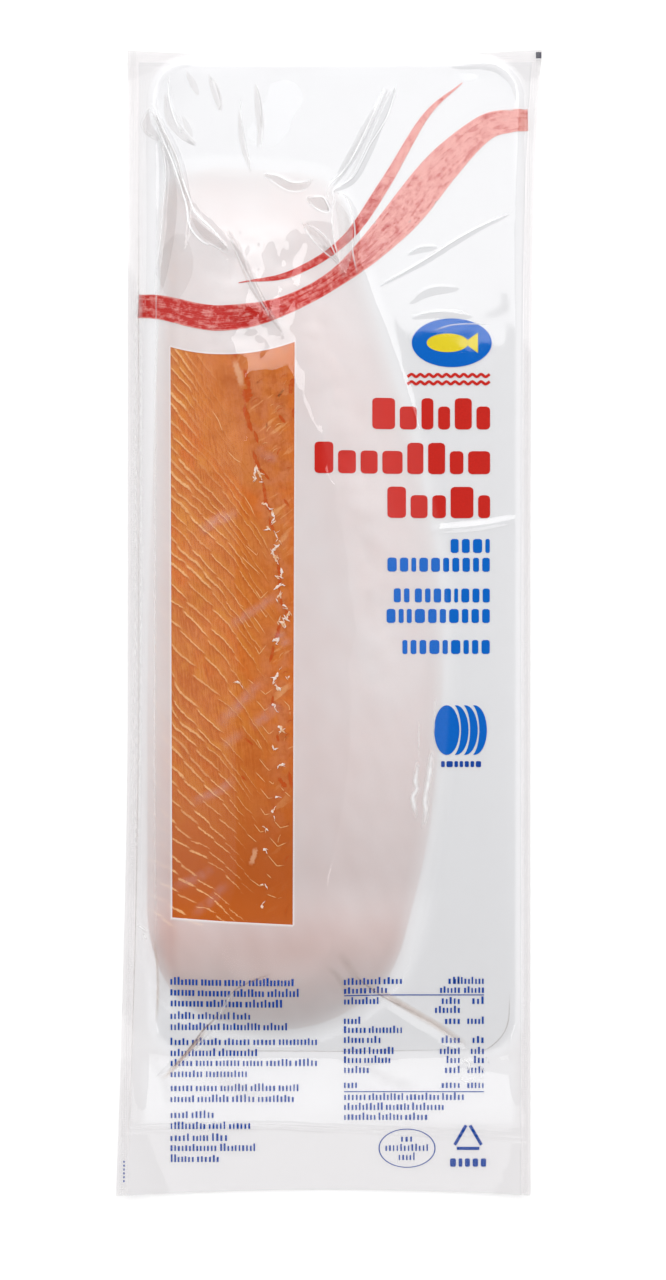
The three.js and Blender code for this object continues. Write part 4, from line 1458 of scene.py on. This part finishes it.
def brushedInk():
    # red ink laid on with a dry brush: streaks run along it, and it thins at its edges and where it is dry
    material, nodes, links, output = newMaterial("brushedRed")
    feed, calc, ramp, noise, blend, attribute = nodeTools(material.node_tree)
    along, across = attribute("along"), attribute("across")
    place = addNode(nodes, "CombineXYZ")
    feed(place.inputs["X"], along)
    feed(place.inputs["Y"], across)

    def streaks(stretch):
        turned = addNode(nodes, "Mapping")
        turned.inputs["Scale"].default_value = stretch
        links.new(place.outputs[0], turned.inputs["Vector"])
        return noise(5, 4, 0.6, place=turned.outputs["Vector"])

    streaked = calc("ADD", *(streaks(stretch) for stretch in brush["streaks"]))
    nearEdge = ramp(calc("ABSOLUTE", across), *brush["edge"], smooth=False)
    gritty = calc("MULTIPLY_ADD", noise(230, 6, 0.75), 0.7, calc("MULTIPLY_ADD", streaked, 0.4, nearEdge))
    # the waves are paler in their second half
    paler = ramp(along, *brush["halves"], smooth=False)
    dryness = ramp(calc("ADD", gritty, paler), *brush["drying"], smooth=False)
    ink = addNode(nodes, "BsdfDiffuse")
    feed(ink.inputs["Color"], blend(dryness, brush["full"], brush["dry"]))
    clear = addNode(nodes, "BsdfTransparent")
    covering = ramp(gritty, *brush["cover"], smooth=False)
    surface = mixShaders(material.node_tree, covering, clear, ink)
    links.new(surface.outputs[0], output.inputs["Surface"])
    return material


# Fine print: how far apart its strokes are, how many stand tall and by how much, and how uneven they are.
fineStrokes = {"apart": 2.1, "tallShare": 0.25, "tallBy": 1.35, "heights": (0.9, 1.05), "lean": 0.12}


def strokeRow(x0, x1, y, height, seed, thick=0.5):
    # a word's length of fine upright strokes of uneven height: one grid with every other column left out
    draw = np.random.default_rng(seed)
    count = max(2, round((x1 - x0) / fineStrokes["apart"]))
    row = addGrid("strokes", 2 * count - 1, 1)
    deleteFaces(row, lambda u, v: np.rint((u + 1) / 2 * (2 * count - 1) - 0.5).astype(int) % 2 == 1)
    tall = np.where(draw.uniform(size=count) < fineStrokes["tallShare"], fineStrokes["tallBy"], 1.0)
    tall = tall * draw.uniform(*fineStrokes["heights"], count)
    lean = draw.uniform(-fineStrokes["lean"], fineStrokes["lean"], 2 * count)
    flat = pointsOf(row)
    edge = np.rint((flat[:, 0] + 1) / 2 * (2 * count - 1)).astype(int)
    mark = np.minimum(edge // 2, count - 1)
    pitch = (x1 - x0) / (count - 0.4)
    x = x0 + mark * pitch + (edge % 2) * thick * pitch + lean[np.minimum(edge, 2 * count - 1)]
    y = y - height / 2 + (flat[:, 1] + 1) / 2 * height * tall[mark]
    setPoints(row, x, y, filmTop(x, y) - webGap["ink"])
    return row


def shareOut(x0, x1, words, gap, seed):
    # splits a row into words of unlike lengths: where each starts, and how long it is
    shares = np.random.default_rng(seed).uniform(0.6, 1.4, words)
    shares *= (x1 - x0 - gap * (words - 1)) / shares.sum()
    return x0 + np.concatenate([[0], np.cumsum(shares + gap)[:-1]]), shares


def wordRow(x0, x1, y, height, words, gap, seed, thick=0.5):
    return [strokeRow(start, start + share, y, height, seed + i, thick)
            for i, (start, share) in enumerate(zip(*shareOut(x0, x1, words, gap, seed)))]


def barRow(x0, x1, y, height, words, gap, seed):
    bars = []
    for start, share in zip(*shareOut(x0, x1, words, gap, seed)):
        shape = barShape(start, start + share, y, height, min(0.2 * height, 0.25 * share))
        bars.append(inkPatch(max(2, int(share / 2.5)), 5, shape))
    return bars


# Blocks and bars for the title and the lines below it, set flush right.
title = {"right": 96.6, "gap": 2.8, "radius": 2.4, "heights": {"tall": 18.8, "low": 13.8}, "rows": [
    # the row's lower edge, each block's width, and which blocks are tall
    (116.0, [13.7, 10.2, 7.2, 7.2, 10.2, 8.2], (0, 2, 4)),
    (89.2, [11.2, 10.7, 10.2, 12.2, 9.7, 10.2, 8.2, 13.2], (0, 4, 5)),
    (62.8, [11.2, 10.2, 8.2, 13.7, 7.2], (0, 3)),
], "ink": (0.63, 0.026, 0.018, 1)}
# Two thin lines of little waves below the badge.
ripples = {"heights": (148.4, 144.0), "left": 47, "step": 2.6, "count": 20, "swing": 0.8, "thick": 1.7}
blueLines = {"right": 96.4, "height": 8.4, "gap": 1.9, "wordGap": 3.2, "letter": 6.0, "rows": [
    # height on the pack, and the length of each word
    (46.2, [23.5]), (34.9, [61.5]), (16.5, [9.5, 45]), (4.2, [62]), (-14.4, [52.5]),
]}
smallPrint = {"left": -95.0, "height": 3.3, "gap": 2.0, "boldRows": 3, "bold": (1.1, 0.56), "rows": [
    # height on the pack, length and number of words
    (-214.8, 74, 4), (-221.4, 77, 4), (-228.0, 67, 3), (-235.8, 48, 3), (-242.4, 70, 3), (-251.4, 88, 5),
    (-258.0, 52, 2), (-264.0, 88, 6), (-270.6, 46, 2), (-279.0, 77, 5), (-285.6, 74, 4), (-295.2, 26, 2),
    (-301.8, 48, 3), (-309.0, 34, 3), (-315.0, 51, 2), (-321.6, 29, 2),
]}
table = {"columns": (9.0, 78.6, 93.0), "height": 3.2, "gap": 1.6, "wordLength": 22, "rows": [
    # height on the pack, then the lengths of its three entries
    (-214.8, 35, 7, 18), (-220.2, 26, 12, 12), (-226.8, 21, 11, 7), (-232.2, 0, 15, 0), (-238.8, 10, 9, 10),
    (-244.2, 35, 0, 0), (-250.2, 22, 11, 7), (-256.8, 30, 12, 8), (-262.2, 28, 8, 6), (-268.2, 15, 9, 10),
    (-277.2, 8, 11, 10), (-284.4, 72, 0, 0), (-290.4, 60, 0, 0), (-296.4, 50, 0, 0),
], "rules": (-223.0, -281.0), "ruleHeight": 0.6}
# The marks at the foot: an oval ring with three short rows in it, and a triangle of three bars with a row of
# bars below. Then the row below the picture of slices, and dashes up the left edge.
footMarks = {
    "oval": (46.8, -315, 17.1, 11.7), "ring": 0.96, "ovalRows": ((-309.5, 7), (-315, 26), (-320.5, 10)),
    "triangle": (83.4, -309.8, 10.6), "triangleBar": 1.9, "triangleRow": (72.6, 94.2, -323.6, 5.0, 5, 1.6, 9),
    "slicesRow": (67.2, 91.2, -84.6, 3.6, 7, 1.0, 12),
    "dashes": {"left": -123.6, "right": -122.2, "top": -323, "step": 2.3, "height": 1.2, "count": 6},
    "ink": (0.012, 0.070, 0.38, 1),
}


def makeTitle():
    blocks = []
    for foot, widths, tall in title["rows"]:
        at = title["right"] - sum(widths) - title["gap"] * (len(widths) - 1)
        for i, width in enumerate(widths):
            height = title["heights"]["tall" if i in tall else "low"]
            shape = barShape(at, at + width, foot + height / 2, height, title["radius"])
            blocks.append(inkPatch(6, 12, shape))
            at += width + title["gap"]
    left, step, swing = ripples["left"], ripples["step"], ripples["swing"]
    for y in ripples["heights"]:
        line = [(left + step * i, y + (swing if i % 2 else -swing)) for i in range(ripples["count"])]
        blocks.append(inkPatch(120, 2, strokeShape(line, [ripples["thick"]] * 2)))
    piece = joinAll(blocks, "redPrint")
    finishPiece(piece, inkMaterial("redInk", title["ink"], 0.985))
    print("title")


def largeLines():
    bars = []
    for row, (y, words) in enumerate(blueLines["rows"]):
        at = blueLines["right"] - sum(words) - blueLines["wordGap"] * (len(words) - 1)
        for length in words:
            letters = round(length / blueLines["letter"])
            bars += barRow(at, at + length, y, blueLines["height"], letters, blueLines["gap"], 40 + row)
            at += length + blueLines["wordGap"]
    return bars


def makeSmallPrint():
    bars = []
    left, gap = smallPrint["left"], smallPrint["gap"]
    for row, (y, length, words) in enumerate(smallPrint["rows"]):
        taller, thick = smallPrint["bold"] if row < smallPrint["boldRows"] else (1.0, 0.5)
        height = taller * smallPrint["height"]
        bars += wordRow(left, left + length, y, height, words, gap, 60 + row, thick)
    left, middle, right = table["columns"]
    for row, (y, first, second, third) in enumerate(table["rows"]):
        for start, length in ((left, first), (middle - second, second), (right - third, third)):
            if length:
                words = 1 + int(length / table["wordLength"])
                bars += wordRow(start, start + length, y, table["height"], words, table["gap"], 80 + row)
    for y in table["rules"]:
        bars.append(inkPatch(50, 1, barShape(left, right, y, table["ruleHeight"], 0.1)))
    bars.append(inkPatch(72, 1, ovalShape(*footMarks["oval"], footMarks["ring"])))
    middle = footMarks["oval"][0]
    for y, length in footMarks["ovalRows"]:
        bars += wordRow(middle - length / 2, middle + length / 2, y, 3.2, 1, 1.2, 5, 0.42)
    x, y, reach = footMarks["triangle"]
    turns = np.arange(4) * 2 * math.pi / 3
    corners = [(x + reach * math.sin(turn), y + reach * math.cos(turn)) for turn in turns]
    for (ax, ay), (bx, by) in zip(corners[:-1], corners[1:]):
        ends = [(ax + (bx - ax) * t, ay + (by - ay) * t) for t in (0.13, 0.5, 0.87)]
        bars.append(inkPatch(12, 2, strokeShape(ends, [footMarks["triangleBar"]] * 2)))
    bars += barRow(*footMarks["triangleRow"]) + barRow(*footMarks["slicesRow"])
    dashes = footMarks["dashes"]
    for i in range(dashes["count"]):
        y = dashes["top"] - dashes["step"] * i
        bars.append(inkPatch(1, 1, barShape(dashes["left"], dashes["right"], y, dashes["height"], 0.2)))
    piece = joinAll(bars, "bluePrint")
    finishPiece(piece, inkMaterial("blueInk", footMarks["ink"], 0.96))
    print("small print", len(piece.data.polygons), "faces")


cuttingMark = {"ends": (123.9, 127.3), "middle": 340.2, "height": 3.7, "ink": (0.040, 0.040, 0.075, 1)}


def makeCuttingMark():
    # the dark square at the bag's head that the packing machine looks for
    mark = inkPatch(4, 4, barShape(*cuttingMark["ends"], cuttingMark["middle"], cuttingMark["height"], 0.2))
    mark.name = "cuttingMark"
    finishPiece(mark, inkMaterial("darkInk", cuttingMark["ink"], 0.97))
    print("cutting mark")


# The badge is an oval with a plain fish: an oval body a little left of the middle, and a tail that widens.
badge = {
    "middle": (73.6, 168.0), "half": (24.0, 14.6), "body": {"left": 2.5, "half": (12.5, 5.6)},
    "tail": {"from": 8.5, "halfLength": 3.6, "halfWide": 0.9, "widens": 2.6},
    "inFront": 0.07, "blue": (0.004, 0.145, 0.60, 1), "yellow": (0.86, 0.70, 0.03, 1),
}
slices = {"middle": (70.6, -64.2), "half": (7.6, 14.9), "step": 5.5, "gap": 0.9, "count": 4}


def crescentShape(x, y, halfWide, halfHigh, wide):
    # the part of an oval's right half that shows past the oval before it
    def shape(u, v):
        angle = u * 0.47 * math.pi
        reach = halfWide * np.cos(angle)
        return x + reach + (v - 1) / 2 * wide * np.cos(angle) ** 0.5, y + halfHigh * np.sin(angle)

    return shape


def makeBadge():
    x, y = badge["middle"]
    bright = largeLines() + [inkPatch(72, 10, ovalShape(x, y, *badge["half"]))]
    sx, sy = slices["middle"]
    bright.append(inkPatch(40, 6, ovalShape(sx, sy, *slices["half"])))
    wide = slices["step"] - slices["gap"]
    for i in range(1, slices["count"]):
        bright.append(inkPatch(24, 4, crescentShape(sx + i * slices["step"], sy, *slices["half"], wide)))
    piece = joinAll(bright, "brightBluePrint")
    finishPiece(piece, inkMaterial("brightBlueInk", badge["blue"], 0.985))
    body, tail = badge["body"], badge["tail"]

    def tailShape(u, v):
        halfWide = tail["halfWide"] + tail["widens"] * (u + 1)
        return x + tail["from"] + (u + 1) * tail["halfLength"], y + v * halfWide

    fishMarks = [inkPatch(48, 5, ovalShape(x - body["left"], y, *body["half"])), inkPatch(8, 6, tailShape)]
    for mark in fishMarks:
        mark.data.vertices.foreach_set("co", (pointsOf(mark) + (0, 0, badge["inFront"] * mm)).ravel())
    piece = joinAll(fishMarks, "yellowPrint")
    finishPiece(piece, inkMaterial("yellowInk", badge["yellow"], 0.97))
    print("badge")


def addLight(name, place, size, radiance):
    light = bpy.data.lights.new(name, "AREA")
    light.shape = "RECTANGLE"
    light.size, light.size_y = size
    light.energy = radiance * math.pi * size[0] * size[1]
    lamp = bpy.data.objects.new(name, light)
    lamp.location = place
    scene.collection.objects.link(lamp)


studio = {
    # how bright the room is
    "low": 2.05, "overhead": 0.62, "ceiling": 0.10, "footShare": 0.15,
    "floorSize": 12, "floorDrop": 0.0003, "floorTone": 0.95, "floorGlow": 0.15,
    # each light's place, size and radiance
    "lights": {"headBox": ((0, 1.60, 2.0), (0.9, 2.6), 3.5), "footBox": ((0, -0.90, 2.0), (1.0, 0.94), 2.5)},
}


def addStage():
    deselectAll()
    bpy.ops.mesh.primitive_plane_add(size=studio["floorSize"], location=(0, 0, -studio["floorDrop"]))
    floor = bpy.context.active_object
    floor.name = "floor"
    material, nodes, links, output = newMaterial("paleFloor")
    paper = addNode(nodes, "BsdfPrincipled", Roughness=0.9)
    paper.inputs["Base Color"].default_value = (studio["floorTone"],) * 3 + (1,)
    paper.inputs["Emission Color"].default_value = (1, 1, 1, 1)
    paper.inputs["Emission Strength"].default_value = studio["floorGlow"]
    links.new(paper.outputs[0], output.inputs["Surface"])
    floor.data.materials.append(material)
    for name, (place, size, radiance) in studio["lights"].items():
        addLight(name, place, size, radiance)
    world = bpy.data.worlds.new("studio")
    scene.world = world
    world.use_nodes = True
    nodes, links = world.node_tree.nodes, world.node_tree.links
    back = nodes["Background"]
    back.inputs["Color"].default_value = (1, 1, 1, 1)
    # the room is bright low down, less so towards the foot, dimmer overhead, and dark right above the pack
    feed, calc, ramp, *_ = nodeTools(world.node_tree)
    split = addNode(nodes, "SeparateXYZ")
    links.new(addNode(nodes, "TexCoord").outputs["Generated"], split.inputs["Vector"])
    low = ramp(split.outputs["Z"], 0.0, 0.8, studio["low"], studio["overhead"])
    toFoot = ramp(split.outputs["Y"], -0.9, 0.2, studio["footShare"], 1.0, smooth=False)
    above = ramp(split.outputs["Z"], 0.955, 0.985, 1.0, studio["ceiling"])
    feed(back.inputs["Strength"], calc("MULTIPLY", calc("MULTIPLY", low, toFoot), above))
    print("stage")


addCamera()
makeFilm()
makeWhitePrint()
makeBoard()
makeFleshMarks(makeSalmon())
makeTornFlesh()
makeCreases()
makeSoftStrips()
makeWaves()
makeTitle()
makeSmallPrint()
makeCuttingMark()
makeBadge()
addStage()
